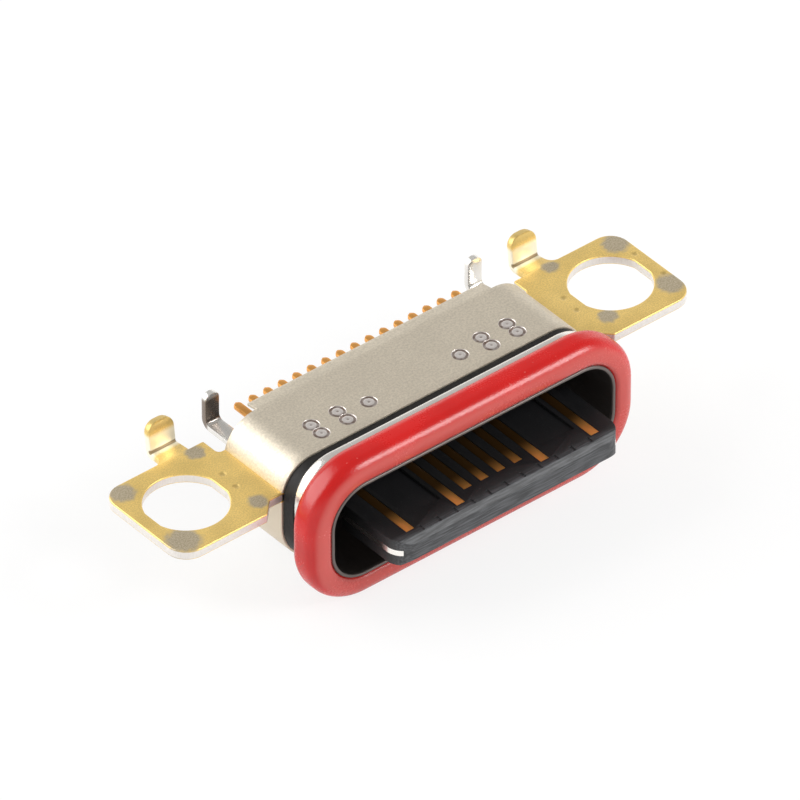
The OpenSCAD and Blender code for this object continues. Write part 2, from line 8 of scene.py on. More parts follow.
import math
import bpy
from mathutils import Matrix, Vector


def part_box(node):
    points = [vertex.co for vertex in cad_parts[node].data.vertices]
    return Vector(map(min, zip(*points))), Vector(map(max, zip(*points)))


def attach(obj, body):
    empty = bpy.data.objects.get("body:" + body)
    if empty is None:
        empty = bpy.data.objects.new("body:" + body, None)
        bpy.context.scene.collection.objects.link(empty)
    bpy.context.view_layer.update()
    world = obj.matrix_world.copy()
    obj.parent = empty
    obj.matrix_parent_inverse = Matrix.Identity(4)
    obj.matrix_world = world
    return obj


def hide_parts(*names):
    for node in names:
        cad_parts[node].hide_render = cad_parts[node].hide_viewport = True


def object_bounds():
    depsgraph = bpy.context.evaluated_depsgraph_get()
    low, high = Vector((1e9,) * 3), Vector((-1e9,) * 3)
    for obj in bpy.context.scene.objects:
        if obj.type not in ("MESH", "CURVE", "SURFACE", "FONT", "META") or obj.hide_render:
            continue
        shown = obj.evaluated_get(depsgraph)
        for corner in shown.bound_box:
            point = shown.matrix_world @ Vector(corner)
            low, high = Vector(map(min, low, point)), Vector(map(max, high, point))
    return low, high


bl_info = {
    "name": "Sealed board socket",
    "version": (1, 0, 0),
    "blender": (4, 5, 0),
    "location": "3D View > Sidebar > Socket",
    "description": "Builds the ring, shell, cover, bracket, tongue and contacts of a sealed board socket",
    "category": "Add Mesh",
}

import bmesh
import bpy
from bpy.props import FloatProperty, FloatVectorProperty, IntProperty, PointerProperty
from bpy.types import Operator, Panel, PropertyGroup
from mathutils import Matrix, Vector

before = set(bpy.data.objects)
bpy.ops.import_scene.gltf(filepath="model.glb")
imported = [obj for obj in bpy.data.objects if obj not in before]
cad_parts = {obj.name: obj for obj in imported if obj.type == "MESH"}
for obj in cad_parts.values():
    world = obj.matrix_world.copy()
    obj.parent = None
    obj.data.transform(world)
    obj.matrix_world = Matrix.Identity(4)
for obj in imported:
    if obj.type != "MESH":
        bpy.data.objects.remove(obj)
CAD_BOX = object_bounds()
BODY = "root"
MM = 0.001
# Places that a row's contacts take among the connector's twelve
CONTACT_PLACES = (1, 4, 5, 6, 7, 8, 9, 12)


def node_box(name):
    """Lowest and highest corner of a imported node, in millimetres."""
    low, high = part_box(name)
    return low / MM, high / MM


RING = node_box("seal_ring")
BEAD = node_box("sealant_bead")
COVER = node_box("top_cover")
BRACKET = node_box("mounting_bracket")
SHELL = node_box("front_shell")
TONGUE = node_box("tongue_body")
POTTING = node_box("rear_potting")
TAIL = node_box("contact_a6")
AXIS_Z = (RING[0].z + RING[1].z) / 2


# Sizes and colours


def size(name, description, millimetres):
    """Property for a length, which is kept in metres."""
    default = millimetres * MM
    return FloatProperty(name=name, description=description, default=default, precision=5, unit="LENGTH")


def tint(name, description, *default):
    """Property for a colour."""
    return FloatVectorProperty(
        name=name, description=description, default=default, subtype="COLOR", size=3, min=0, max=1
    )


class TubeSizes(PropertyGroup):
    """Drawn tube, its flange lip, its legs and the seal ring round it."""

    sheet: size("Sheet", "Thickness of the drawn sheet", 0.09)
    corner: size("Corner", "Corner radius of the cavity", 0.92)
    ring_height: size("Ring height", "Height of the seal ring above the tube", 0.61)
    ring_round: size("Ring rounding", "Radius on the outer corners of the ring's section", 0.35)
    ring_lip: size("Ring lip", "Radius on the ring's front edge beside the mouth", 0.14)
    flange_height: size("Flange height", "Height of the flange lip above the tube", 0.31)
    flange_round: size("Flange rounding", "Radius on the edges of the flange lip", 0.1)
    flange_dip: size("Flange dip", "How much lower the flange lip is along the sides", 0.1)
    flange_swell: size("Flange swell", "How much deeper the flange lip is over the upper corners", 0.06)
    mouth_lead: size("Ring lead", "Distance that the ring stands in front of the mouth", 0.03)
    leg_x: size("Leg place", "Distance from the middle to a solder leg", 3.92)
    leg_width: size("Leg width", "Width of a solder leg", 0.42)
    leg_sheet: size("Leg thickness", "Thickness of a solder leg", 0.15)
    leg_top: size("Leg top", "Height of a leg's upper end above the ears", 0.7)
    leg_height: size("Leg run height", "Height of a leg's lower face above the port's middle", 0.45)
    leg_bend: size("Leg bend", "Radius of the leg's bend, at the middle of its sheet", 0.2)


class CoverSizes(PropertyGroup):
    """Top cover with its rear lip and weld marks."""

    sheet: size("Sheet", "Thickness of the cover", 0.08)
    shoulder: size("Shoulder", "Outer radius of the cover's rounded sides", 0.93)
    length: size("Length", "Length in front of the rear lip", 2.08)
    lip_half: size("Lip half width", "Distance from the middle to the lip's end", 3.5)
    lip_drop: size("Lip drop", "Drop of the rear lip", 0.06)
    mark: size("Weld mark", "Outer diameter of a weld mark", 0.42)
    mark_depth: size("Weld depth", "Depth of a weld mark", 0.02)
    mark_x: size("First mark", "Distance from the middle to the first mark", 1.36)
    mark_pitch_x: size("Mark pitch across", "Spacing of the marks across the cover", 0.78)
    mark_pitch_y: size("Mark pitch along", "Spacing of the marks along the cover", 0.37)
    mark_setback: size("Mark setback", "Distance from the front edge to the front marks", 0.45)


class BracketSizes(PropertyGroup):
    """Saddle, screw ears and solder tabs."""

    sheet: size("Sheet", "Thickness of the bracket", 0.25)
    edge: size("Edge rounding", "Rounding of the stamped upper edge", 0.035)
    hole_x: size("Hole place", "Distance from the middle to a screw hole", 6.33)
    hole: size("Hole radius", "Radius of a screw hole", 1.01)
    hole_flat: size("Hole flat", "Distance from a hole's centre to its flats", 0.97)
    ear_front: size("Ear front", "Distance from a hole's centre to the ear's front edge", 1.52)
    ear_rear: size("Ear rear", "Distance from a hole's centre to the ear's rear edge", 1.48)
    ear_root: size("Ear root", "Width of the ear's root in front, beside the body", 0.34)
    ear_slant: size("Ear slant", "Sideways run of the slanted inner front edge", 0.36)
    ear_step: size("Ear step", "Step from the ear's rear edge forward to its root", 0.55)
    front_corner: size("Front corner", "Radius on the ear's outer front corner", 0.56)
    rear_corner: size("Rear corner", "Radius on the ear's outer rear corner", 0.5)
    tab_in: size("Tab place", "Distance from a hole's centre inward to its tab", 0.92)
    tab_width: size("Tab width", "Width of a solder tab", 0.76)
    tab_root: size("Tab root", "Radius between a tab and the ear's rear edge", 0.3)
    tab_tip: size("Tab tip", "Corner radius of the tab's upper end", 0.27)
    tab_sheet: size("Tab thickness", "Thickness of a solder tab", 0.19)


class ContactSizes(PropertyGroup):
    """Contacts on the tongue and their solder tails."""

    count: IntProperty(name="Contacts a row", description="Number of contacts in a row", default=8, min=1)
    pitch: size("Pitch", "Spacing of the contact positions", 0.5)
    tail_pitch: size("Tail pitch", "Spacing of the solder tails", 0.432)
    width: size("Width", "Width of a contact on the tongue", 0.25)
    tail_width: size("Tail width", "Width of a solder tail", 0.22)
    thickness: size("Thickness", "Thickness of the contact strip", 0.12)
    tail_bend: size("Tail bend", "Radius of the tail's two bends, at the middle of the strip", 0.075)
    long_setback: size("Long setback", "From the tongue's tip to the long contacts", 0.35)
    short_setback: size("Short setback", "From the tongue's tip to the short contacts", 0.7)
    jog_setback: size("Jog setback", "From the tongue's tip to the sideways jogs", 3.85)
    skin: size("Tongue thickness", "Thickness of the tongue", 0.7)


class Finishes(PropertyGroup):
    """Colours of the finishes."""

    silicone: tint("Silicone", "Colour of the seal ring", 0.52, 0.005, 0.004)
    steel: tint("Drawn steel", "Colour of the drawn shell", 0.86, 0.84, 0.80)
    # Painted shade: the tube's inner wall and rim take this dark colour in place of bright steel
    dull: tint("Dull steel", "Colour of the tube's inner wall and rim", 0.09, 0.078, 0.073)
    nickel: tint("Satin nickel", "Colour of the cover's plating", 0.69, 0.62, 0.505)
    cut: tint("Cut edge", "Colour of the bracket's stamped edges", 0.80, 0.76, 0.72)
    gold: tint("Gold flash", "Colour of the bracket's plating", 0.92, 0.66, 0.22)
    contact: tint("Contact gold", "Colour of the contacts' plating", 0.88, 0.42, 0.11)
    moulding: tint("Black moulding", "Colour of the tongue's plastic", 0.007, 0.007, 0.008)
    sealant: tint("Sealant", "Colour of the sealing compound", 0.010, 0.009, 0.009)


class StageSizes(PropertyGroup):
    """Camera and floor."""

    azimuth: FloatProperty(
        name="Azimuth", description="Turn of the camera from the port's axis", default=math.radians(-39.6),
        subtype="ANGLE",
    )
    elevation: FloatProperty(
        name="Elevation", description="Height of the camera above the floor", default=math.radians(38.7),
        subtype="ANGLE",
    )
    distance: size("Distance", "Distance from the camera to the part", 400.0)
    lens: FloatProperty(name="Lens", description="Focal length in millimetres", default=783.0)
    floor: tint("Floor", "Colour of the floor", 0.9, 0.9, 0.9)


class Millimetres:
    """Reads the lengths of one of the scene's property groups in millimetres."""

    def __init__(self, group):
        self.group = getattr(bpy.context.scene, "socket_" + group)

    def __getattr__(self, name):
        return getattr(self.group, name) / MM


def body_half():
    """Half width of the body, over the bracket's saddle and the cover."""
    return RING[1].x + Millimetres("bracket").sheet - Millimetres("tube").ring_height


def body_end():
    """Where the tube, the saddle and the cover's flat part end, in front of the cover's lip."""
    return COVER[0].y + Millimetres("cover").length


# Shader and geometry trees


class Wire:
    """One output of a node, which Python expressions can work on."""

    def __init__(self, tree, socket):
        self.tree = tree
        self.socket = socket

    def math(self, operation, *others):
        return self.tree.node("ShaderNodeMath", {"operation": operation}, dict(enumerate((self,) + others)))

    def __add__(self, other):
        return self.math("ADD", other)

    def __sub__(self, other):
        return self.math("SUBTRACT", other)

    def __rsub__(self, other):
        return self.tree.node("ShaderNodeMath", {"operation": "SUBTRACT"}, {0: other, 1: self})

    def __mul__(self, other):
        return self.math("MULTIPLY", other)

    def __truediv__(self, other):
        return self.math("DIVIDE", other)

    def __gt__(self, other):
        return self.math("GREATER_THAN", other)

    def __lt__(self, other):
        return self.math("LESS_THAN", other)

    __radd__ = __add__
    __rmul__ = __mul__

    def ramp(self, low, high, start=0.0, end=1.0):
        """Smooth step of this value from low..high to start..end."""
        settings = {"interpolation_type": "SMOOTHSTEP"}
        return self.tree.node("ShaderNodeMapRange", settings, {0: self, 1: low, 2: high, 3: start, 4: end})

    def away(self, other, x, y):
        """Distance of the point (this, other) from (x, y)."""
        return ((self - x).math("POWER", 2.0) + (other - y).math("POWER", 2.0)).math("SQRT")


class NodeTree:
    """Builds a node tree; every node that has values or links comes from node()."""

    def __init__(self, tree):
        self.tree = tree

    def node(self, kind, settings=None, sockets=None, out=0):
        made = self.tree.nodes.new(kind)
        for key, value in (settings or {}).items():
            setattr(made, key, value)
        for key, value in (sockets or {}).items():
            if isinstance(value, Wire):
                self.tree.links.new(value.socket, made.inputs[key])
            else:
                made.inputs[key].default_value = value
        return Wire(self, made.outputs[out]) if made.outputs else made

    def mix(self, share, first, second):
        """Colour mix of first and second by share."""
        return self.node("ShaderNodeMix", {"data_type": "RGBA"}, {0: share, 6: first, 7: second}, out=2)


class Finish(NodeTree):
    """A material read from Object coordinates, in the colours of the scene's finishes."""

    def __init__(self, name):
        self.material = bpy.data.materials.new(name)
        self.material.use_nodes = True
        self.material.node_tree.nodes.clear()
        super().__init__(self.material.node_tree)
        self.place = self.node("ShaderNodeTexCoord", out="Object")
        self.material.diffuse_color = (0.5, 0.5, 0.5, 1.0)

    def grain(self, feature, detail=3.0, stretch=(1.0, 1.0, 1.0), roughness=0.5):
        """Noise from 0 to 1 with features of about this many millimetres, stretched along the axes."""
        scale = tuple(1.0 / (feature * MM * s) for s in stretch)
        spread = self.node("ShaderNodeMapping", None, {"Vector": self.place, "Scale": scale})
        sockets = {"Vector": spread, "Scale": 1.0, "Detail": detail, "Roughness": roughness}
        return self.node("ShaderNodeTexNoise", None, sockets)

    def axis(self, letter):
        """Object coordinate along an axis, in millimetres."""
        return self.node("ShaderNodeSeparateXYZ", None, {0: self.place}, out=letter) * (1.0 / MM)

    def tone(self, name, gain=1.0):
        """One of the finish colours, times gain."""
        return rgba(getattr(bpy.context.scene.socket_finishes, name), gain)

    def tones(self, name, share, low, high):
        """One of the finish colours, from low to high times itself by share."""
        return self.mix(share, self.tone(name, low), self.tone(name, high))

    def surface(self, colour, roughness, relief, depth, metallic=0.0, specular=0.5):
        """Ends the material in its shader, with a relief whose full height is depth millimetres."""
        normal = self.node("ShaderNodeBump", None, {"Height": relief, "Distance": depth * MM})
        shader = self.node("ShaderNodeBsdfPrincipled", None, {
            "Base Color": colour, "Roughness": roughness, "Normal": normal,
            "Metallic": metallic, "Specular IOR Level": specular,
        })
        self.node("ShaderNodeOutputMaterial", None, {"Surface": shader})
        return self.material


def rgba(colour, gain=1.0):
    return tuple(min(1.0, c * gain) for c in colour) + (1.0,)


# Materials

# Painted reflection of the bright floor on the seal ring's front face
FLOOR_REFLECTION_RED = (0.52, 0.13, 0.11, 1.0)
RED_DUST = (0.75, 0.28, 0.25, 1.0)
# Painted shade on the left solder leg's upright
LEG_SHADE_BROWN = (0.16, 0.11, 0.08, 1.0)
# Painted shade on the mid plate inside the shell
CAVITY_SHADE_STEEL = (0.06, 0.05, 0.05, 1.0)
# Painted reflection of the floor on the solder tabs' lower face
TAB_REFLECTION_CREAM = (1.0, 0.96, 0.80, 1.0)
# Painted shadow in the solder tabs' crease
CREASE_SHADOW_BROWN = (0.22, 0.13, 0.03, 1.0)
GLASS_FLECK = (0.09, 0.085, 0.085, 1.0)
# Painted highlight on the tongue's nose
NOSE_HIGHLIGHT_GREY = (0.085, 0.088, 0.095, 1.0)
WELD_PALE = (0.76, 0.71, 0.68, 1.0)
WELD_BROWN = (0.22, 0.16, 0.13, 1.0)


def silicone_finish():
    """Glossy red silicone with a faint moulded texture, a front face made paler by a painted reflection of
    the floor, and a little dust.
    """
    finish = Finish("red_silicone")
    cloud = finish.grain(1.4, 2.0)
    fine = finish.grain(0.05, 4.0)
    dust = finish.grain(0.09, 1.0).ramp(0.74, 0.80)
    face = finish.axis("Y").ramp(RING[0].y + 0.10, RING[0].y + 0.01)
    colour = finish.tones("silicone", cloud.ramp(0.3, 0.7), 0.92, 1.08)
    # Painted reflection: the front face is tinted pale red, as if it mirrored the bright floor
    colour = finish.mix(face * 0.5, colour, FLOOR_REFLECTION_RED)
    colour = finish.mix(dust * 0.3, colour, RED_DUST)
    return finish.surface(colour, 0.20 + 0.08 * cloud + 0.05 * fine, relief=fine, depth=0.004)


def drawn_steel_finish(name="drawn_steel", roughness=0.16):
    """Bright drawn sheet with fine lines along the draw, and painted shade in brown on the left leg's
    upright, below its tip.
    """
    finish = Finish(name)
    lines = finish.grain(0.03, 3.0, (1.0, 12.0, 1.0))
    cloud = finish.grain(0.9, 2.0)
    left = finish.axis("X") < 0.0
    upright = finish.axis("Y").ramp(1.9, 2.0)
    below_tip = finish.axis("Z").ramp(0.62, 0.52)
    colour = finish.tones("steel", cloud, 0.92, 1.06)
    # Painted shade: the left leg's upright is darkened to brown below its tip
    colour = finish.mix(left * upright * below_tip * 0.85, colour, LEG_SHADE_BROWN)
    return finish.surface(colour, roughness + 0.10 * lines + 0.08 * cloud, lines, 0.0015, metallic=0.8)


def mid_plate_finish():
    """Blanked plate, bright at its nose, with painted shade further in, inside the shell."""
    finish = Finish("mid_plate")
    lines = finish.grain(0.03, 3.0, (1.0, 6.0, 1.0))
    inside = finish.axis("Y").ramp(TONGUE[0].y + 0.35, TONGUE[0].y + 0.7)
    # Painted shade: the plate darkens towards the inside of the shell
    colour = finish.mix(inside * 0.92, finish.tone("steel", 1.1), CAVITY_SHADE_STEEL)
    return finish.surface(colour, 0.2 + 0.1 * lines, lines, 0.0015, metallic=0.8)


def shaded_inner_wall_finish():
    """Inner wall and mouth rim of the drawn tube, painted dark as painted shade inside the shell, and less
    dark at the mouth rim.
    """
    finish = Finish("dull_steel")
    lines = finish.grain(0.04, 3.0, (1.0, 8.0, 1.0))
    rim = finish.axis("Y").ramp(RING[0].y + 0.16, RING[0].y + 0.06)
    # Painted shade: dark inner wall, less dark near the mouth rim
    colour = finish.mix(rim, finish.tones("dull", lines, 0.8, 1.2), finish.tone("dull", 1.8))
    return finish.surface(colour, 0.42 + 0.16 * lines, lines, 0.002, metallic=0.8)


def nickel_finish():
    """Satin nickel with a visible fine grain, faint clouds and hairline scratches."""
    finish = Finish("satin_nickel")
    fine = finish.grain(0.055, 3.0, roughness=0.65)
    cloud = finish.grain(0.9, 2.0)
    scratch = finish.grain(0.02, 2.0, (30.0, 1.0, 1.0)).ramp(0.68, 0.75)
    colour = finish.tones("nickel", cloud.ramp(0.3, 0.7), 0.98, 1.03)
    colour = finish.mix(fine.ramp(0.35, 0.65) * 0.45, colour, finish.tone("nickel", 0.62))
    roughness = 0.40 + 0.12 * fine - 0.06 * scratch
    return finish.surface(colour, roughness, fine - 0.4 * scratch, 0.006, metallic=0.7)


def cut_edge_finish():
    """Pale stamped edge with faint lines through the sheet."""
    finish = Finish("cut_edge")
    fine = finish.grain(0.03, 3.0, (1.0, 1.0, 4.0))
    return finish.surface(finish.tones("cut", fine, 0.85, 1.1), 0.34 + 0.14 * fine, fine, 0.003, metallic=0.6)


# Worn spots on the ears as (x, y, radius), and needle pricks as (x, y), in millimetres
WORN_SPOTS = [
    (-7.26, 1.19, 0.36), (-5.04, 1.27, 0.26), (-5.05, -1.03, 0.26), (-7.25, -1.04, 0.46),
    (7.36, 1.04, 0.36), (5.64, 1.35, 0.24), (7.38, -0.90, 0.38), (5.48, -0.91, 0.26),
]
PRICKS = [(-5.05, 0.26), (-5.09, -0.28), (5.12, 0.25), (5.07, -0.28), (7.46, 0.47), (7.51, -0.52)]
PRICK_RADIUS = 0.11
# The bracket is bare within this half width and under this height, and the tabs are creased along this line,
# where a painted shadow is laid
BARE_HALF, BARE_TOP = 4.62, -0.27
CREASE_Y, CREASE_Z = 1.98, -0.07


def gold_finish():
    """Satin gold flash on nickel: worn spots on the ears, bare nickel on the saddle, and on the creased tabs
    a painted reflection, painted shade at their tops and a painted shadow in their crease.
    """
    finish = Finish("gold_flash")
    fine = finish.grain(0.035, 4.0)
    cloud = finish.grain(0.6, 3.0)
    ragged = finish.grain(0.14, 2.0)
    across, along, height = (finish.axis(letter) for letter in "XYZ")

    def nearest(spots):
        """Distance from the nearest of the spots, in spot radii."""
        shares = [across.away(along, x, y) / radius for x, y, radius in spots]
        found = shares[0]
        for share in shares[1:]:
            found = found.math("MINIMUM", share)
        return found

    worn = (nearest(WORN_SPOTS) + 0.6 * ragged).ramp(1.45, 0.95)
    pricked = nearest([(x, y, PRICK_RADIUS) for x, y in PRICKS]).ramp(1.0, 0.2)
    bare = (across.math("ABSOLUTE") < BARE_HALF) * (height < BARE_TOP)
    tab = along.ramp(1.75, 1.9)
    crease_shadow = along.away(height, CREASE_Y, CREASE_Z).ramp(0.075, 0.03)
    gold = finish.tones("gold", cloud.ramp(0.3, 0.7), 0.94, 1.06)
    gold = finish.mix(fine.ramp(0.35, 0.65) * 0.5, gold, finish.tone("gold", 0.62))
    # Painted reflection: the tab's lower face is lightened to cream
    gold = finish.mix(tab * height.ramp(0.42, 0.28) * 0.9, gold, TAB_REFLECTION_CREAM)
    # Painted shade: the tab's upper end is darkened where it curves away from the light
    gold = finish.mix(tab * height.ramp(0.36, 0.5) * 0.6, gold, finish.tone("gold", 0.5))
    # Painted shadow: a dark line in the inner corner of the tab's bend
    gold = finish.mix(crease_shadow * 0.85, gold, CREASE_SHADOW_BROWN)
    colour = finish.mix(worn * 0.85, gold, finish.tones("nickel", fine.ramp(0.35, 0.65), 0.42, 0.72))
    colour = finish.mix(pricked * 0.5, colour, finish.tone("gold", 0.3))
    colour = finish.mix(bare, colour, finish.tone("nickel"))
    roughness = 0.34 + 0.12 * cloud + 0.12 * worn
    return finish.surface(colour, roughness, fine * 0.5 - 6.0 * pricked, 0.004, metallic=0.6)


def contact_finish():
    """Warm contact gold with wiping lines along the strip, and painted shade inside the shell."""
    finish = Finish("contact_gold")
    lines = finish.grain(0.025, 3.0, (1.0, 14.0, 1.0))
    cloud = finish.grain(0.5, 2.0)
    along = finish.axis("Y")
    dull = along.ramp(-3.5, -2.8) * along.ramp(1.0, 0.6)
    colour = finish.tones("contact", cloud, 0.85, 1.1)
    # Painted shade: the contacts darken inside the shell
    colour = finish.mix(dull * 0.95, colour, finish.tone("contact", 0.08))
    return finish.surface(colour, 0.24 + 0.12 * lines + 0.08 * cloud, lines, 0.002, metallic=0.8)


def moulding_finish():
    """Black glass-filled moulding with a fine pebbled skin, and a painted highlight in grey streaks across
    its nose.
    """
    finish = Finish("black_moulding")
    fine = finish.grain(0.03, 5.0, roughness=0.6)
    cloud = finish.grain(0.5, 2.0)
    fleck = finish.grain(0.02, 1.0, (1.0, 3.0, 1.0)).ramp(0.7, 0.78)
    streak = finish.grain(0.04, 3.0, (14.0, 1.0, 1.0)).ramp(0.35, 0.7)
    nose = finish.axis("Y").ramp(TONGUE[0].y + 0.4, TONGUE[0].y + 0.1)
    colour = finish.mix(fleck * 0.4, finish.tones("moulding", cloud, 0.8, 1.3), GLASS_FLECK)
    # Painted highlight: the nose is lightened to grey, broken into streaks, as if its bevel caught the light
    colour = finish.mix(nose * (0.25 + 0.75 * streak), colour, NOSE_HIGHLIGHT_GREY)
    return finish.surface(colour, 0.38 + 0.16 * fine + 0.06 * cloud, relief=fine, depth=0.006)


def sealant_finish():
    """Black sealing compound with a wet, uneven skin."""
    finish = Finish("sealing_compound")
    swell = finish.grain(0.35, 3.0)
    fine = finish.grain(0.05, 3.0)
    colour = finish.tones("sealant", swell, 0.7, 1.6)
    return finish.surface(colour, 0.42 + 0.25 * swell, swell + 0.2 * fine, 0.02, specular=0.25)


def weld_finish(depth):
    """Laser weld in nickel: a pale ring where the mark is high, brown heat tint where it is deep."""
    finish = Finish("weld_heat")
    fine = finish.grain(0.02, 3.0)
    cloud = finish.grain(0.12, 2.0).ramp(0.3, 0.65)
    deep = (COVER[1].z - finish.axis("Z")).ramp(0.15 * depth, 0.7 * depth)
    colour = finish.mix(deep * (0.55 + 0.45 * cloud), WELD_PALE, WELD_BROWN)
    return finish.surface(colour, 0.26 + 0.14 * fine, fine, 0.003, metallic=0.8)


# Meshes


def arc(centre, radius, start, end, steps):
    """Points on an arc, each with the direction away from its centre; angles in degrees."""
    points = []
    for i in range(steps + 1):
        angle = math.radians(start + (end - start) * i / steps)
        away = Vector((math.cos(angle), math.sin(angle)))
        points.append((Vector(centre) + radius * away, away))
    return points


def curve(centre, radius, start, end, steps):
    """The points of an arc alone, as pairs of numbers."""
    return [tuple(point) for point, away in arc(centre, radius, start, end, steps)]


def straight(first, last, steps):
    """The points between two path points, without the ends."""
    return [(first[0].lerp(last[0], i / steps), first[1]) for i in range(1, steps)]


def corner_arcs(width, height, radius, steps, middle=0.0):
    """The four corners of a rounded rectangle whose middle is at this height, as arc() gives them."""
    arcs = []
    for x, y, start in ((1, 1, 0), (-1, 1, 90), (-1, -1, 180), (1, -1, 270)):
        centre = (x * (width / 2 - radius), middle + y * (height / 2 - radius))
        arcs.append(arc(centre, radius, start, start + 90, steps))
    return arcs


def rounded_section(width, thickness, radius, steps):
    """Rectangle about the origin with rounded corners, as pairs of numbers."""
    return [tuple(point) for corner in corner_arcs(width, thickness, radius, steps) for point, away in corner]


def fillet(before, corner, after, radius, steps):
    """Arc that rounds a corner between two straight runs, as arc() gives it."""
    into, out = (before - corner).normalized(), (after - corner).normalized()
    half = into.angle(out) / 2
    centre = corner + (into + out).normalized() * (radius / math.sin(half))
    start, end = ((corner + edge * (radius / math.tan(half)) - centre).normalized() for edge in (into, out))
    directions = [start.slerp(end, i / steps).normalized() for i in range(steps + 1)]
    return [(centre + away * radius, away) for away in directions]


def filleted(corners, radii, steps):
    """Points of a line through the corners, with its inner corners rounded."""
    spots = [Vector(corner) for corner in corners]
    points = spots[:1]
    for before, corner, after, radius in zip(spots, spots[1:], spots[2:], radii):
        points += [point for point, away in fillet(before, corner, after, radius, steps)]
    return points + spots[-1:]


def tube_path(tube, inset, steps, run, side_run=6):
    """Closed path in X-Z round the tube, inset from its outer face, with outward directions."""
    width = 2 * (RING[1].x - tube.ring_height - inset)
    height = 2 * (RING[1].z - AXIS_Z - tube.ring_height - inset)
    corners = corner_arcs(width, height, tube.corner + tube.sheet - inset, steps, AXIS_Z)
    path = []
    for corner, following, count in zip(corners, corners[1:] + corners[:1], (run, side_run) * 2):
        path += corner + straight(corner[-1], following[0], count)
    return path


def bridge(made, first, second, closed=True):
    """Quads between two rows of vertices."""
    faces = []
    for j in range(len(first) if closed else len(first) - 1):
        k = (j + 1) % len(first)
        faces.append(made.faces.new((first[j], first[k], second[k], second[j])))
    return faces


def sweep(path, section, closed=True, lined=(), shape=None):
    """Sweeps a section of (outward, y) points along a path; its lined edges take the second finish."""
    made = bmesh.new()
    rings = []
    for point, away in path:
        spots = [shape(away, *spot) for spot in section] if shape else section
        spots = [(point + away * outward, y) for outward, y in spots]
        rings.append([made.verts.new((spot.x, y, spot.y)) for spot, y in spots])
    for first, second in zip(rings, rings[1:] + rings[:1] if closed else rings[1:]):
        for j, face in enumerate(bridge(made, first, second)):
            face.material_index = int(j in lined)
    if not closed:
        made.faces.new(rings[0])
        made.faces.new(rings[-1][::-1])
    return made


def plate(outline, hole, low, high, upper_round, lower_round, steps=4):
    """Flat plate with rounded edges from two loops as arc() gives them; its walls take the second finish."""
    made = bmesh.new()
    stations = curve((-upper_round, high - upper_round), upper_round, 90, 0, steps)
    stations += curve((-lower_round, low + lower_round), lower_round, 0, -90, steps)
    tops, bottoms = [], []
    for loop, side in ((outline, 1), (hole, -1)):
        rings = []
        for outward, z in stations:
            spots = [point + away * (side * outward) for point, away in loop]
            rings.append([made.verts.new((spot.x, spot.y, z)) for spot in spots])
        for i, (first, second) in enumerate(zip(rings, rings[1:])):
            for face in bridge(made, first, second):
                face.material_index = int(i == steps)
        for edges, ring in ((tops, rings[0]), (bottoms, rings[-1])):
            edges += [made.edges.get(pair) for pair in zip(ring, ring[1:] + ring[:1])]
    for edges in (tops, bottoms):
        bmesh.ops.triangle_fill(made, use_beauty=True, use_dissolve=False, edges=edges)
    return made


def ribbon(made, path, x, width, thickness, edge, tip, tip_steps=10):
    """Bent strip along a Y-Z path: rectangle section with rounded edges, and a rounded end of radius tip."""
    lengths = [0.0]
    for first, second in zip(path, path[1:]):
        lengths.append(lengths[-1] + (second - first).length)
    total = lengths[-1]
    stations = [(s, width / 2) for s in lengths if s < total - tip - 1e-6]
    # The end stays a little wider than the rounding of its edges
    for across, ahead in curve((0, 0), tip, 0, 90, tip_steps):
        stations.append((total - tip + ahead, max(width / 2 - tip + across, edge * 1.2)))
    rings = []
    for s, half in stations:
        i = max(k for k in range(len(path) - 1) if lengths[k] <= s + 1e-9)
        part = (s - lengths[i]) / max(lengths[i + 1] - lengths[i], 1e-9)
        spot = path[i].lerp(path[i + 1], part)
        before = path[max(i - (part < 0.5), 0)]
        after = path[min(i + 1 + (part > 0.5), len(path) - 1)]
        along = (after - before).normalized()
        normal = Vector((-along.y, along.x))
        section = rounded_section(half * 2, thickness, edge, 2)
        spots = [(x + across, spot + normal * lift) for across, lift in section]
        rings.append([made.verts.new((across, place.x, place.y)) for across, place in spots])
    for first, second in zip(rings, rings[1:]):
        bridge(made, first, second)
    made.faces.new(rings[0][::-1])
    made.faces.new(rings[-1])
    return made


def add_mesh(target, source):
    """Adds one bmesh to another and frees it."""
    mesh = bpy.data.meshes.new("spare")
    source.to_mesh(mesh)
    source.free()
    target.from_mesh(mesh)
    bpy.data.meshes.remove(mesh)


def new_object(name, made, *materials, smooth=True, sharp=35.0):
    """Mesh object from a bmesh, with outward faces and sharp edges by angle; still in millimetres."""
    bmesh.ops.recalc_face_normals(made, faces=made.faces)
    mesh = bpy.data.meshes.new(name)
    made.to_mesh(mesh)
    made.free()
    if smooth:
        mesh.shade_smooth()
        mesh.set_sharp_from_angle(angle=math.radians(sharp))
    for material in materials:
        mesh.materials.append(material)
    return linked(name, mesh)


def linked(name, data):
    """New object of the scene that shows the data."""
    obj = bpy.data.objects.new(name, data)
    bpy.context.scene.collection.objects.link(obj)
    return obj


def bake_modifiers(obj):
    """Turns the evaluated object into its plain mesh and removes its modifiers."""
    bpy.context.view_layer.update()
    graph = bpy.context.evaluated_depsgraph_get()
    seen = obj.evaluated_get(graph)
    mesh = bpy.data.meshes.new_from_object(seen, preserve_all_data_layers=True, depsgraph=graph)
    obj.modifiers.clear()
    spare = obj.data
    obj.data = mesh
    mesh.name = obj.name
    bpy.data.meshes.remove(spare)
    return obj


def rounded_edges(obj, width, angle):
    """Rounds the edges of a millimetre object that are sharper than an angle in degrees."""
    bevel = obj.modifiers.new("Edges", "BEVEL")
    bevel.width = width
    bevel.segments = 2
    bevel.limit_method = "ANGLE"
    bevel.angle_limit = math.radians(angle)
    bake_modifiers(obj)
    obj.data.shade_smooth()
    obj.data.set_sharp_from_angle(angle=math.radians(angle))


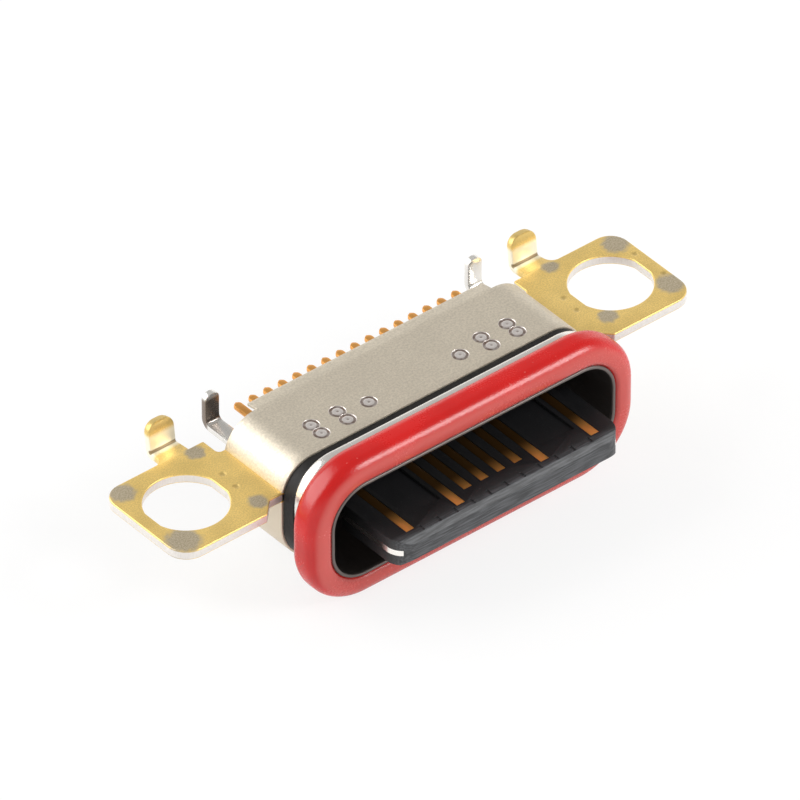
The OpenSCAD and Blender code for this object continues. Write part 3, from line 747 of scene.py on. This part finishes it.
def mount_piece(obj, slot, *nodes):
    """Turns a finished piece to metres, puts it under the body's empty and hides the nodes that it stands
    for.
    """
    obj.data.transform(Matrix.Scale(MM, 4))
    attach(obj, BODY)
    if nodes:
        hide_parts(*nodes)


# Distance and angle under which a copied node's corners and faces are merged, in millimetres and degrees
MERGE_DISTANCE, MERGE_ANGLE = 0.0005, 0.5


def merged_copy(node, name, width, material):
    """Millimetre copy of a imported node, with its loose triangles merged and its edges rounded."""
    made = bmesh.new()
    made.from_mesh(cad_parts[node].data)
    bmesh.ops.scale(made, vec=(1 / MM,) * 3, verts=made.verts)
    bmesh.ops.remove_doubles(made, verts=made.verts, dist=MERGE_DISTANCE)
    bmesh.ops.dissolve_limit(made, angle_limit=math.radians(MERGE_ANGLE), verts=made.verts, edges=made.edges)
    obj = new_object(name, made, material, sharp=25.0)
    if width:
        rounded_edges(obj, width, 25.0)
    return obj


def copied_piece(node, slot, material, edge=0.0):
    """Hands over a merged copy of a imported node, under the node's name, with its edges rounded."""
    name = node.title().replace("_", "")
    mount_piece(merged_copy(node, name, edge, material), slot, node)


def paint_node(name, material):
    """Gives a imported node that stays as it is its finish."""
    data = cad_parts[name].data
    data.materials.clear()
    data.materials.append(material)


# Geometry Nodes


def geometry_tree(name, inputs):
    """New geometry tree with named inputs; returns its builder and its input wires."""
    tree = bpy.data.node_groups.new(name, "GeometryNodeTree")
    for label, kind in {"Geometry": "Geometry", **inputs}.items():
        tree.interface.new_socket(label, in_out="INPUT", socket_type="NodeSocket" + kind)
    tree.interface.new_socket("Geometry", in_out="OUTPUT", socket_type="NodeSocketGeometry")
    builder = NodeTree(tree)
    entry = tree.nodes.new("NodeGroupInput")
    return builder, {socket.name: Wire(builder, socket) for socket in entry.outputs}


def copies(builder, count, source):
    """Count points in one spot, and the source object's shape to lay on them."""
    spots = {"Count": count, "Offset": (0.0, 0.0, 0.0)}
    points = builder.node("GeometryNodeMeshLine", {"mode": "OFFSET"}, spots)
    shape = builder.node("GeometryNodeObjectInfo", None, {"Object": source}, out="Geometry")
    return points, shape


def moved(builder, geometry, x, y, z):
    """Geometry with its points set to x, y and z."""
    spot = builder.node("ShaderNodeCombineXYZ", None, {"X": x, "Y": y, "Z": z})
    return builder.node("GeometryNodeSetPosition", None, {"Geometry": geometry, "Position": spot})


def close_tree(builder, geometry, material):
    """Ends a tree in Realize Instances and Set Material."""
    real = builder.node("GeometryNodeRealizeInstances", None, {0: geometry})
    dressed = builder.node("GeometryNodeSetMaterial", None, {"Geometry": real, "Material": material})
    leave = builder.tree.nodes.new("NodeGroupOutput")
    builder.tree.links.new(dressed.socket, leave.inputs[0])
    return builder.tree


def grow(name, tree, values):
    """Runs a geometry tree on an empty object and keeps the plain mesh."""
    obj = linked(name, bpy.data.meshes.new(name))
    run = obj.modifiers.new(tree.name, "NODES")
    run.node_group = tree
    for item in tree.interface.items_tree:
        if item.item_type == "SOCKET" and item.in_out == "INPUT" and item.name in values:
            run[item.identifier] = values[item.name]
    return bake_modifiers(obj)


MARKS_A_SIDE = 5
# How many places the connector and the row of tails have across
CONNECTOR_PLACES, TAIL_PLACES = 12, 16


def weld_tree():
    """Marks in two mirrored groups: one inner mark, then two columns of two."""
    builder, given = geometry_tree("Weld marks", {
        "Mark": "Object", "First": "Float", "Pitch X": "Float", "Pitch Y": "Float", "Front": "Float",
        "Height": "Float", "Material": "Material",
    })
    points, shape = copies(builder, 2 * MARKS_A_SIDE, given["Mark"])
    index = builder.node("GeometryNodeInputIndex")
    place = index.math("MODULO", float(MARKS_A_SIDE))
    side = (index > MARKS_A_SIDE - 0.5) * 2.0 - 1.0
    inner = place < 0.5
    column = (1.0 - inner) * (1.0 + (place > 2.5))
    row = inner * 0.5 + (1.0 - inner) * (place - 1.0).math("MODULO", 2.0)
    x = side * (given["First"] + column * given["Pitch X"])
    y = given["Front"] + row * given["Pitch Y"]
    laid = moved(builder, points, x, y, given["Height"])
    marks = builder.node("GeometryNodeInstanceOnPoints", None, {"Points": laid, "Instance": shape})
    return close_tree(builder, marks, given["Material"])


def contact_tree():
    """One row of contacts: straight on the tongue, then a sideways jog out to its solder tails."""
    builder, given = geometry_tree("Contact row", {
        "Strip": "Object", "Count": "Int", "Pitch": "Float", "Tail Pitch": "Float", "Way": "Float",
        "Front": "Float", "Short Front": "Float", "Jog Start": "Float", "Jog End": "Float",
        "Material": "Material",
    })
    points, shape = copies(builder, given["Count"], given["Strip"])
    index = builder.node("GeometryNodeInputIndex")
    kind = {"data_type": "FLOAT", "domain": "POINT"}
    stored = {"Geometry": points, "Name": "row_place", "Value": index}
    named = builder.node("GeometryNodeStoreNamedAttribute", kind, stored)
    strips = builder.node("GeometryNodeInstanceOnPoints", None, {"Points": named, "Instance": shape})
    real = builder.node("GeometryNodeRealizeInstances", None, {0: strips})
    place = builder.node("GeometryNodeInputNamedAttribute", {"data_type": "FLOAT"}, {"Name": "row_place"})
    position = builder.node("GeometryNodeInputPosition")
    x, y, z = (builder.node("ShaderNodeSeparateXYZ", None, {0: position}, out=letter) for letter in "XYZ")
    # A row stands at places 1, 4 to 9 and 12 of 12. The tails of both rows take 16 places in turn, and the
    # row that goes first changes after every two contacts
    pin = place + 3.0 + 2.0 * (place > 6.5) - 2.0 * (place < 0.5)
    swap = place.math("MODULO", 4.0) > 1.5
    slot = 2.0 * place + 1.5 - 0.5 * given["Way"] + given["Way"] * swap
    pin_x = (pin - (CONNECTOR_PLACES + 1) / 2) * given["Pitch"]
    slot_x = (slot - (TAIL_PLACES + 1) / 2) * given["Tail Pitch"]
    run = given["Jog End"] - given["Jog Start"]
    jog = ((y - given["Jog Start"]) / run).math("MINIMUM", 1.0).math("MAXIMUM", 0.0)
    # The middle four contacts are short: their part in front of the jog is squeezed towards it
    short = (place > 1.5) * (place < 5.5)
    share = 1.0 - short * (given["Short Front"] - given["Front"]) / (given["Jog Start"] - given["Front"])
    ahead = y < given["Jog Start"]
    new_y = ahead * (given["Jog Start"] - (given["Jog Start"] - y) * share) + (1.0 - ahead) * y
    laid = moved(builder, real, x + pin_x + jog * (slot_x - pin_x), new_y, z)
    return close_tree(builder, laid, given["Material"])


# Operators

# Distance under which two places count as one, in millimetres
TOLERANCE = 0.001
# Shares of its width and height that the rear potting keeps behind the cover
POTTING_WIDTH, POTTING_HEIGHT = 0.92, 0.88
# Rounding of the legs' edges, how far a leg's root reaches into the tube, and half the flat of its tip
LEG_EDGE, LEG_ROOT, LEG_FLAT = 0.025, 0.3, 0.03


class SOCKET_OT_front_shell(Operator):
    """Drawn shell: tube, flange lip, rolled mouth and two solder legs"""

    bl_idname = "socket.front_shell"
    bl_label = "Front shell"

    def execute(self, context):
        tube = Millimetres("tube")
        sheet, rounding, lip = tube.sheet, tube.flange_round, tube.sheet + tube.flange_height
        mouth, end = RING[0].y + tube.mouth_lead, body_end()
        flange_y, bead = RING[1].y, BEAD[0].y
        roll = sheet * 0.45
        inside = [(0.0, end), (0.0, mouth + roll * 2)]
        inside += curve((roll, mouth + roll), roll, 180, 270, 4)
        inside += curve((sheet - roll, mouth + roll), roll, 270, 360, 4)
        outside = [(sheet, flange_y)]
        outside += curve((lip - rounding, flange_y + rounding), rounding, 270, 360, 6)
        outside += curve((lip - rounding, bead - rounding), rounding, 0, 90, 6)
        outside += [(sheet, bead), (sheet, end)]
        dip, swell = tube.flange_dip, tube.flange_swell

        def flange(away, outward, y):
            """Lowers the lip along the sides and deepens it over the upper corners."""
            if outward <= sheet + TOLERANCE:
                return outward, y
            share = (outward - sheet) / (lip - sheet)
            over_corner = max(0.0, 2 * abs(away.x) * away.y)
            rear = y > (flange_y + bead) / 2
            return outward - dip * share * away.x ** 6, y + (swell * over_corner if rear else 0.0)

        path = tube_path(tube, sheet, 14, 24)
        made = sweep(path, inside + outside, lined=range(len(inside) - 1), shape=flange)
        middle = AXIS_Z + tube.leg_height + tube.leg_sheet / 2
        back = SHELL[1].y - tube.leg_sheet / 2
        leg = filleted([(end - LEG_ROOT, middle), (back, middle), (back, tube.leg_top)], [tube.leg_bend], 8)
        tip = tube.leg_width / 2 - LEG_FLAT
        for side in (-1, 1):
            ribbon(made, leg, side * tube.leg_x, tube.leg_width, tube.leg_sheet, LEG_EDGE, tip)
        shell = new_object("FrontShell", made, drawn_steel_finish(), shaded_inner_wall_finish())
        mount_piece(shell, "stainless", "front_shell")
        return {"FINISHED"}


class SOCKET_OT_seal_ring(Operator):
    """Silicone seal ring moulded round the mouth"""

    bl_idname = "socket.seal_ring"
    bl_label = "Seal ring"

    def execute(self, context):
        tube = Millimetres("tube")
        front, rear = RING[0].y, RING[1].y
        lip, rounding = tube.ring_lip, tube.ring_round
        outer = tube.ring_height - rounding
        section = [(0.0, rear), (0.0, front + lip)]
        section += curve((lip, front + lip), lip, 180, 270, 5)
        section += curve((outer, front + rounding), rounding, 270, 360, 12)
        section += curve((outer, rear - rounding), rounding, 0, 90, 12)
        ring = new_object("SealRing", sweep(tube_path(tube, 0.0, 24, 40), section), silicone_finish())
        mount_piece(ring, "silicone", "seal_ring")
        return {"FINISHED"}


class SOCKET_OT_sealant(Operator):
    """Sealing compound behind the flange, in the side gaps and over the rear of the tube"""

    bl_idname = "socket.sealant"
    bl_label = "Sealant"

    def execute(self, context):
        black = sealant_finish()
        copied_piece("sealant_bead", "sealant", black, edge=0.03)
        copied_piece("side_sealant", "sealant", black)
        potting = merged_copy("rear_potting", "RearPotting", 0.0, black)
        # Behind the cover's flat part the potting is drawn in, so that no black rim stands out beside it
        end = body_end() - TOLERANCE
        for vert in potting.data.vertices:
            if vert.co.y > end:
                vert.co.x *= POTTING_WIDTH
                vert.co.z = AXIS_Z + (vert.co.z - AXIS_Z) * POTTING_HEIGHT
        mount_piece(potting, "sealant", "rear_potting")
        return {"FINISHED"}


# Lines across the cover's sheet: their distances behind its front edge, and in front of its bend, and the
# shares of the lip's length
FRONT_LINES, BEND_LINES, LIP_LINES = (0.0, 0.2, 1.0), (0.12, 0.0), (0.2, 0.45, 0.7, 1.0)


def cover_sheet(cover, half, bend):
    """Solid sheet of the cover: rounded sides, flat top and a lip that drops behind the bend."""
    top, front, end = COVER[1].z, COVER[0].y, COVER[1].y
    shoulder, lip, drop = cover.shoulder, cover.lip_half, cover.lip_drop
    low = math.degrees(math.asin(max(COVER[0].z - (top - shoulder), 0.0) / shoulder))
    right = curve((half - shoulder, top - shoulder), shoulder, low, 90, 18)
    flat = [(x, top) for x in (lip, lip / 2, 0.0, -lip / 2, -lip)]
    left = curve((shoulder - half, top - shoulder), shoulder, 90, 180 - low, 18)
    made = bmesh.new()
    stations = [front + line for line in FRONT_LINES] + [bend - line for line in BEND_LINES]
    grid = [[made.verts.new((x, y, z)) for y in stations] for x, z in right + flat + left]
    lips = []
    for row, (x, z) in zip(grid[len(right):], flat):
        lips.append(row[-1:])
        for share in LIP_LINES:
            lips[-1].append(made.verts.new((x, bend + (end - bend) * share, z - drop * share)))
    for rows in (grid, lips):
        for first, second in zip(rows, rows[1:]):
            bridge(made, first, second, closed=False)
    bmesh.ops.recalc_face_normals(made, faces=made.faces)
    if sum(face.normal.z * face.calc_area() for face in made.faces) < 0:
        bmesh.ops.reverse_faces(made, faces=made.faces)
    bmesh.ops.solidify(made, geom=made.faces[:], thickness=cover.sheet)
    return made


# Section of a weld mark from its middle outwards and down to its base, as shares of its radius and its depth
MARK_PROFILE = [
    (0.12, -0.45), (0.25, -0.1), (0.4, -0.02), (0.55, -0.1), (0.68, -0.7), (0.8, -1.0), (0.92, -0.75),
    (1.0, -0.05), (1.0, -1.9),
]
MARK_HUB = -0.55
MARK_SIDES = 36


def mark_shape(radius, depth):
    """One weld mark: a low middle, a raised ring and a groove round it, closed underneath."""
    made = bmesh.new()
    rings = []
    for share, z in MARK_PROFILE:
        spots = curve((0.0, 0.0), radius * share, 0, 360, MARK_SIDES)[:-1]
        rings.append([made.verts.new((x, y, depth * z)) for x, y in spots])
    hub = made.verts.new((0, 0, depth * MARK_HUB))
    for first, second in zip(rings[0], rings[0][1:] + rings[0][:1]):
        made.faces.new((hub, first, second))
    for first, second in zip(rings, rings[1:]):
        bridge(made, first, second)
    made.faces.new(rings[-1][::-1])
    return new_object("MarkShape", made, sharp=60.0)


def mark_cutter(radius, depth):
    """Round cutter for the recess of a weld mark."""
    made = bmesh.new()
    bmesh.ops.create_cone(made, cap_ends=True, segments=48, radius1=radius, radius2=radius, depth=4 * depth)
    return new_object("MarkCutter", made, smooth=False)


class SOCKET_OT_top_cover(Operator):
    """Rounded top cover with its rear lip, its recesses and the weld marks in them"""

    bl_idname = "socket.top_cover"
    bl_label = "Top cover"

    def execute(self, context):
        sizes = Millimetres("cover")
        made = cover_sheet(sizes, body_half(), body_end())
        cover = new_object("TopCover", made, nickel_finish(), sharp=40.0)
        rounded_edges(cover, 0.018, 50.0)
        tree = weld_tree()
        marks = {
            "First": sizes.mark_x, "Pitch X": sizes.mark_pitch_x, "Pitch Y": sizes.mark_pitch_y,
            "Front": COVER[0].y + sizes.mark_setback, "Height": COVER[1].z,
        }
        cutter = mark_cutter(sizes.mark / 2, sizes.mark_depth)
        cuts = grow("MarkCuts", tree, dict(marks, Mark=cutter, Material=cover.data.materials[0]))
        recess = cover.modifiers.new("Recesses", "BOOLEAN")
        recess.operation = "DIFFERENCE"
        recess.solver = "EXACT"
        recess.use_self = True
        recess.object = cuts
        bake_modifiers(cover)
        cover.data.set_sharp_from_angle(angle=math.radians(40))
        mark = mark_shape(sizes.mark / 2, sizes.mark_depth)
        welds = grow("WeldMarks", tree, dict(marks, Mark=mark, Material=weld_finish(sizes.mark_depth)))
        for spare in (cutter, cuts, mark):
            bpy.data.objects.remove(spare)
        mount_piece(cover, "satin_nickel", "top_cover")
        mount_piece(welds, "satin_nickel")
        return {"FINISHED"}


# How far the ear's root reaches into the saddle, and the gap between the body and the ear behind the root
ROOT_OVERLAP = 0.15
EAR_GAP = 0.15
# Rounding of the saddle's edges and of the ears' lower edges
LOWER_EDGE = 0.03


def ear_outline(ear, body):
    """Outline of the right ear in X-Y, as arc() gives it; body is the body's half width."""
    root, gap, inner = body - ROOT_OVERLAP, body + EAR_GAP, body + ear.ear_root
    front, rear, outer = -ear.ear_front, ear.ear_rear, BRACKET[1].x
    root_front, root_rear = COVER[0].y, rear - ear.ear_step
    # Corners as (x, y, radius), from the outer front corner round the rear and back along the front
    corners = [
        (outer, front, ear.front_corner), (outer, rear, ear.rear_corner),
        (gap, rear, 0.05), (gap, root_rear, 0.12),
        (root, root_rear, 0.02), (root, root_front, 0.02),
        (inner, root_front, 0.02), (inner + ear.ear_slant, front, 0.06),
    ]
    spots = [Vector((x, y)) for x, y, radius in corners]
    loop = []
    for i, (x, y, radius) in enumerate(corners):
        before, corner, after = spots[i - 1], spots[i], spots[(i + 1) % len(spots)]
        way = -1 if (before - corner).cross(after - corner) > 0 else 1
        loop += [(point, away * way) for point, away in fillet(before, corner, after, radius, 8)]
    return loop


def screw_hole(ear):
    """Loop of the right ear's hole: two arcs joined by flats, with outward directions."""
    bite = math.degrees(math.acos(ear.hole_flat / ear.hole))
    centre = (ear.hole_x, 0.0)
    return arc(centre, ear.hole, bite, 180 - bite, 28) + arc(centre, ear.hole, 180 + bite, 360 - bite, 28)


def mirrored(loop):
    """The loop on the left side."""
    return [(Vector((-p.x, p.y)), Vector((-n.x, n.y))) for p, n in reversed(loop)]


# The tab's run in Y-Z behind the ear's rear edge: its foot, its knee and the place where it leans back
TAB_FOOT, TAB_KNEE, TAB_LEAN = (-0.02, -0.03), (0.57, -0.18), (0.62, 0.3)
TAB_BENDS = [0.3, 0.12, 0.25]
TAB_STEP = 0.04
TAB_EDGE = 0.04
# How far the tab's strip reaches into the ear, and how far its end stays in front of the bracket's rear
TAB_REACH, TAB_SETBACK = 0.3, 0.1


def solder_tab(ear, side):
    """Tab bent up behind an ear, flared into the ear's rear edge on its outer side."""
    rear, level = ear.ear_rear, TAB_FOOT[1] - ear.tab_sheet / 2
    corners = [(rear - TAB_REACH, level), (rear + TAB_FOOT[0], level)]
    corners += [(rear + y, z) for y, z in (TAB_KNEE, TAB_LEAN)]
    corners.append((BRACKET[1].y - TAB_SETBACK, BRACKET[1].z))
    path = filleted(corners, TAB_BENDS, 8)
    fine = path[:1]
    for first, second in zip(path, path[1:]):
        steps = math.ceil((second - first).length / TAB_STEP)
        fine += [first.lerp(second, i / steps) for i in range(1, steps + 1)]
    made = ribbon(bmesh.new(), fine, 0.0, ear.tab_width, ear.tab_sheet, TAB_EDGE, ear.tab_tip)
    for vert in made.verts:
        if vert.co.x > 0:
            share = min(max((vert.co.y - rear) / ear.tab_root, 0.0), 1.0)
            vert.co.x += ear.tab_root * (1 - math.sqrt(1 - (1 - share) ** 2))
        vert.co.x = side * (vert.co.x + ear.hole_x - ear.tab_in)
    return made


def saddle_path(half, radius):
    """Open path in X-Z down one side of the body, under it and up the other, with outward directions."""
    bottom = BRACKET[0].z
    heights = (-0.02, -0.3)
    path = [(Vector((half, z)), Vector((1, 0))) for z in heights]
    path += arc((half - radius, bottom + radius), radius, 0, -90, 16)
    path += straight(path[-1], (Vector((radius - half, bottom)), None), 10)
    path += arc((radius - half, bottom + radius), radius, -90, -180, 16)
    return path + [(Vector((-half, z)), Vector((-1, 0))) for z in reversed(heights)]


class SOCKET_OT_mounting_bracket(Operator):
    """Stamped bracket: saddle under the tube, two screw ears and two solder tabs"""

    bl_idname = "socket.mounting_bracket"
    bl_label = "Mounting bracket"

    def execute(self, context):
        ear, tube = Millimetres("bracket"), Millimetres("tube")
        sheet, half = ear.sheet, body_half()
        front, end = COVER[0].y, body_end()
        section = rounded_section(sheet, end - front, LOWER_EDGE, 4)
        section = [(x - sheet / 2, y + (front + end) / 2) for x, y in section]
        made = sweep(saddle_path(half, tube.corner + tube.sheet + sheet), section, closed=False)
        loop, hole = ear_outline(ear, half), screw_hole(ear)
        for side in (1, -1):
            add_mesh(made, plate(loop, hole, -sheet, 0.0, ear.edge, LOWER_EDGE))
            add_mesh(made, solder_tab(ear, side))
            loop, hole = mirrored(loop), mirrored(hole)
        bracket = new_object("MountingBracket", made, gold_finish(), cut_edge_finish())
        mount_piece(bracket, "gold_plate", "mounting_bracket")
        return {"FINISHED"}


class SOCKET_OT_tongue(Operator):
    """Tongue moulding with its mid plate, ground pads and the carriers behind it"""

    bl_idname = "socket.tongue"
    bl_label = "Tongue"

    def execute(self, context):
        black = moulding_finish()
        bright = drawn_steel_finish("blanked_steel", 0.2)
        copied_piece("tongue_body", "black_moulding", black, edge=0.012)
        copied_piece("mid_plate", "stainless", mid_plate_finish(), edge=0.015)
        for place in ("upper", "lower"):
            copied_piece(f"{place}_ground_pad", "stainless", bright, edge=0.012)
            paint_node(f"{place}_carrier", black)
        return {"FINISHED"}


# Rounding of a contact's edges, half the flat of its tail's end, and the spacing of the jog's stations
CONTACT_EDGE, TAIL_FLAT, JOG_STEP = 0.035, 0.012, 0.4
# How far the riser stands in front of the potting, and the jog's end in front of the riser
RISER_LEAD, JOG_LEAD = 0.11, 0.12


def contact_strip(sizes, front, jog, riser, strip_z):
    """One contact without its jog: wide on the tongue, then narrow, up at the riser and back to its tail."""
    end, tail_z = TAIL[1].y, TAIL[1].z - sizes.thickness / 2
    bends = [(jog + 2 * JOG_STEP, strip_z), (riser, strip_z), (riser, tail_z), (end, tail_z)]
    path = [Vector((y, strip_z)) for y in (front, jog, jog + JOG_STEP)]
    path += filleted(bends, [sizes.tail_bend] * 2, 4)
    tip = sizes.tail_width / 2 - TAIL_FLAT
    made = ribbon(bmesh.new(), path, 0.0, sizes.tail_width, sizes.thickness, CONTACT_EDGE, tip, 8)
    for vert in made.verts:
        if vert.co.y < jog + TOLERANCE:
            vert.co.x *= sizes.width / sizes.tail_width
    return new_object("StripShape", made, sharp=40.0)


class SOCKET_OT_contacts(Operator):
    """Two rows of contacts, from the tongue to the solder tails"""

    bl_idname = "socket.contacts"
    bl_label = "Contacts"

    def execute(self, context):
        sizes = Millimetres("contacts")
        gold = contact_finish()
        tree = contact_tree()
        tip, riser = TONGUE[0].y, POTTING[0].y - RISER_LEAD
        front, jog = tip + sizes.long_setback, tip + sizes.jog_setback
        values = {
            "Count": context.scene.socket_contacts.count, "Material": gold,
            "Pitch": sizes.pitch, "Tail Pitch": sizes.tail_pitch,
            "Front": front, "Short Front": tip + sizes.short_setback,
            "Jog Start": jog, "Jog End": riser - JOG_LEAD,
        }
        for name, side, way in (("UpperContacts", "a", 1.0), ("LowerContacts", "b", -1.0)):
            strip_z = AXIS_Z + way * (sizes.skin / 2 - sizes.thickness / 2)
            strip = contact_strip(sizes, front, jog, riser, strip_z)
            contacts = grow(name, tree, dict(values, Strip=strip, Way=way))
            bpy.data.objects.remove(strip)
            mount_piece(contacts, "contact_gold", *(f"contact_{side}{place}" for place in CONTACT_PLACES))
        return {"FINISHED"}


# Stage, in metres: the floor's half width, its gap under the part, and the point that the camera looks at
FLOOR_HALF = 1.5
FLOOR_GAP = 0.00002
AIM = Vector((-0.078, -0.094, -0.153)) * MM


def paper_finish(shade):
    """Pale paper that glows for camera and glossy rays, so that it looks nearly white."""
    paper = Finish("floor_paper")
    speck = paper.grain(0.4, 3.0)
    colour = paper.mix(speck, rgba(shade), rgba(shade, 1.02))
    matt = paper.node("ShaderNodeBsdfDiffuse", None, {"Color": colour})
    glow = paper.node("ShaderNodeEmission", None, {"Color": (1, 1, 1, 1), "Strength": 1.0})
    seen = paper.node("ShaderNodeLightPath", out="Is Camera Ray")
    gloss = paper.node("ShaderNodeLightPath", out="Is Glossy Ray")
    both = paper.node("ShaderNodeMixShader", None, {0: seen * 0.8 + gloss * 0.6, 1: matt, 2: glow})
    paper.node("ShaderNodeOutputMaterial", None, {"Surface": both})
    return paper.material


def studio():
    """World that is brightest near the horizon, and white to the camera."""
    world = bpy.data.worlds.new("Studio")
    world.use_nodes = True
    world.node_tree.nodes.clear()
    sky = NodeTree(world.node_tree)
    seen = sky.node("ShaderNodeLightPath", out="Is Camera Ray")
    bearing = sky.node("ShaderNodeTexCoord", out="Generated")
    rise = sky.node("ShaderNodeSeparateXYZ", None, {0: bearing}, out="Z")
    glow = {"Color": (1.0, 0.99, 0.97, 1), "Strength": rise.ramp(0.1, 0.6, 1.2, 0.4)}
    soft = sky.node("ShaderNodeBackground", None, glow)
    white = sky.node("ShaderNodeBackground", None, {"Color": (1, 1, 1, 1), "Strength": 1.0})
    both = sky.node("ShaderNodeMixShader", None, {0: seen, 1: soft, 2: white})
    sky.node("ShaderNodeOutputWorld", None, {"Surface": both})
    return world


def area_light(name, place, width, power):
    """Soft square light aimed at the origin; metres and watts."""
    data = bpy.data.lights.new(name, "AREA")
    data.shape = "SQUARE"
    data.size = width
    data.energy = power
    light = linked(name, data)
    light.location = place
    light.rotation_euler = (-Vector(place)).to_track_quat("-Z", "Y").to_euler()


class SOCKET_OT_stage(Operator):
    """Pale floor, soft lights and the camera"""

    bl_idname = "socket.stage"
    bl_label = "Stage"

    def execute(self, context):
        scene, sizes = context.scene, context.scene.socket_stage
        mesh = bpy.data.meshes.new("Floor")
        corners = [(x * FLOOR_HALF, y * FLOOR_HALF) for x, y in ((-1, -1), (1, -1), (1, 1), (-1, 1))]
        mesh.from_pydata([(x, y, CAD_BOX[0][2] - FLOOR_GAP) for x, y in corners], [], [(0, 1, 2, 3)])
        mesh.materials.append(paper_finish(sizes.floor))
        linked("Floor", mesh)
        scene.world = studio()
        area_light("KeyLight", place=(0.15, -0.19, 0.18), width=0.12, power=0.55)
        area_light("SideLight", place=(-0.20, 0.225, 0.18), width=0.3, power=1.2)
        data = bpy.data.cameras.new("Camera")
        data.lens = sizes.lens
        data.sensor_width = 36.0
        data.clip_start, data.clip_end = 0.01, 10.0
        camera = linked("Camera", data)
        turn, lift = sizes.azimuth, sizes.elevation
        away = Vector((math.sin(turn) * math.cos(lift), -math.cos(turn) * math.cos(lift), math.sin(lift)))
        camera.location = AIM + away * sizes.distance
        camera.rotation_euler = (-away).to_track_quat("-Z", "Y").to_euler()
        scene.camera = camera
        scene.view_settings.view_transform = "Standard"
        return {"FINISHED"}


class SOCKET_PT_panel(Panel):
    """Lists the socket's sizes and pieces."""

    bl_label = "Sealed board socket"
    bl_idname = "SOCKET_PT_panel"
    bl_space_type = "VIEW_3D"
    bl_region_type = "UI"
    bl_category = "Socket"

    def draw(self, context):
        for name in GROUPS:
            settings = getattr(context.scene, name)
            box = self.layout.box()
            box.label(text=name.replace("socket_", "").title())
            for key in settings.__annotations__:
                box.prop(settings, key)
        for operator in PIECES:
            self.layout.operator(operator.bl_idname)


GROUPS = {
    "socket_tube": TubeSizes,
    "socket_cover": CoverSizes,
    "socket_bracket": BracketSizes,
    "socket_contacts": ContactSizes,
    "socket_finishes": Finishes,
    "socket_stage": StageSizes,
}
PIECES = [
    SOCKET_OT_stage,
    SOCKET_OT_front_shell,
    SOCKET_OT_seal_ring,
    SOCKET_OT_sealant,
    SOCKET_OT_top_cover,
    SOCKET_OT_mounting_bracket,
    SOCKET_OT_tongue,
    SOCKET_OT_contacts,
]


def register():
    for name, group in GROUPS.items():
        bpy.utils.register_class(group)
        setattr(bpy.types.Scene, name, PointerProperty(type=group))
    for shown in PIECES + [SOCKET_PT_panel]:
        bpy.utils.register_class(shown)


def unregister():
    for shown in reversed(PIECES + [SOCKET_PT_panel]):
        bpy.utils.unregister_class(shown)
    for name, group in reversed(GROUPS.items()):
        delattr(bpy.types.Scene, name)
        bpy.utils.unregister_class(group)


def main():
    register()
    for operator in PIECES:
        space, name = operator.bl_idname.split(".")
        getattr(getattr(bpy.ops, space), name)()
    bpy.context.view_layer.update()


if __name__ == "__main__":
    main()
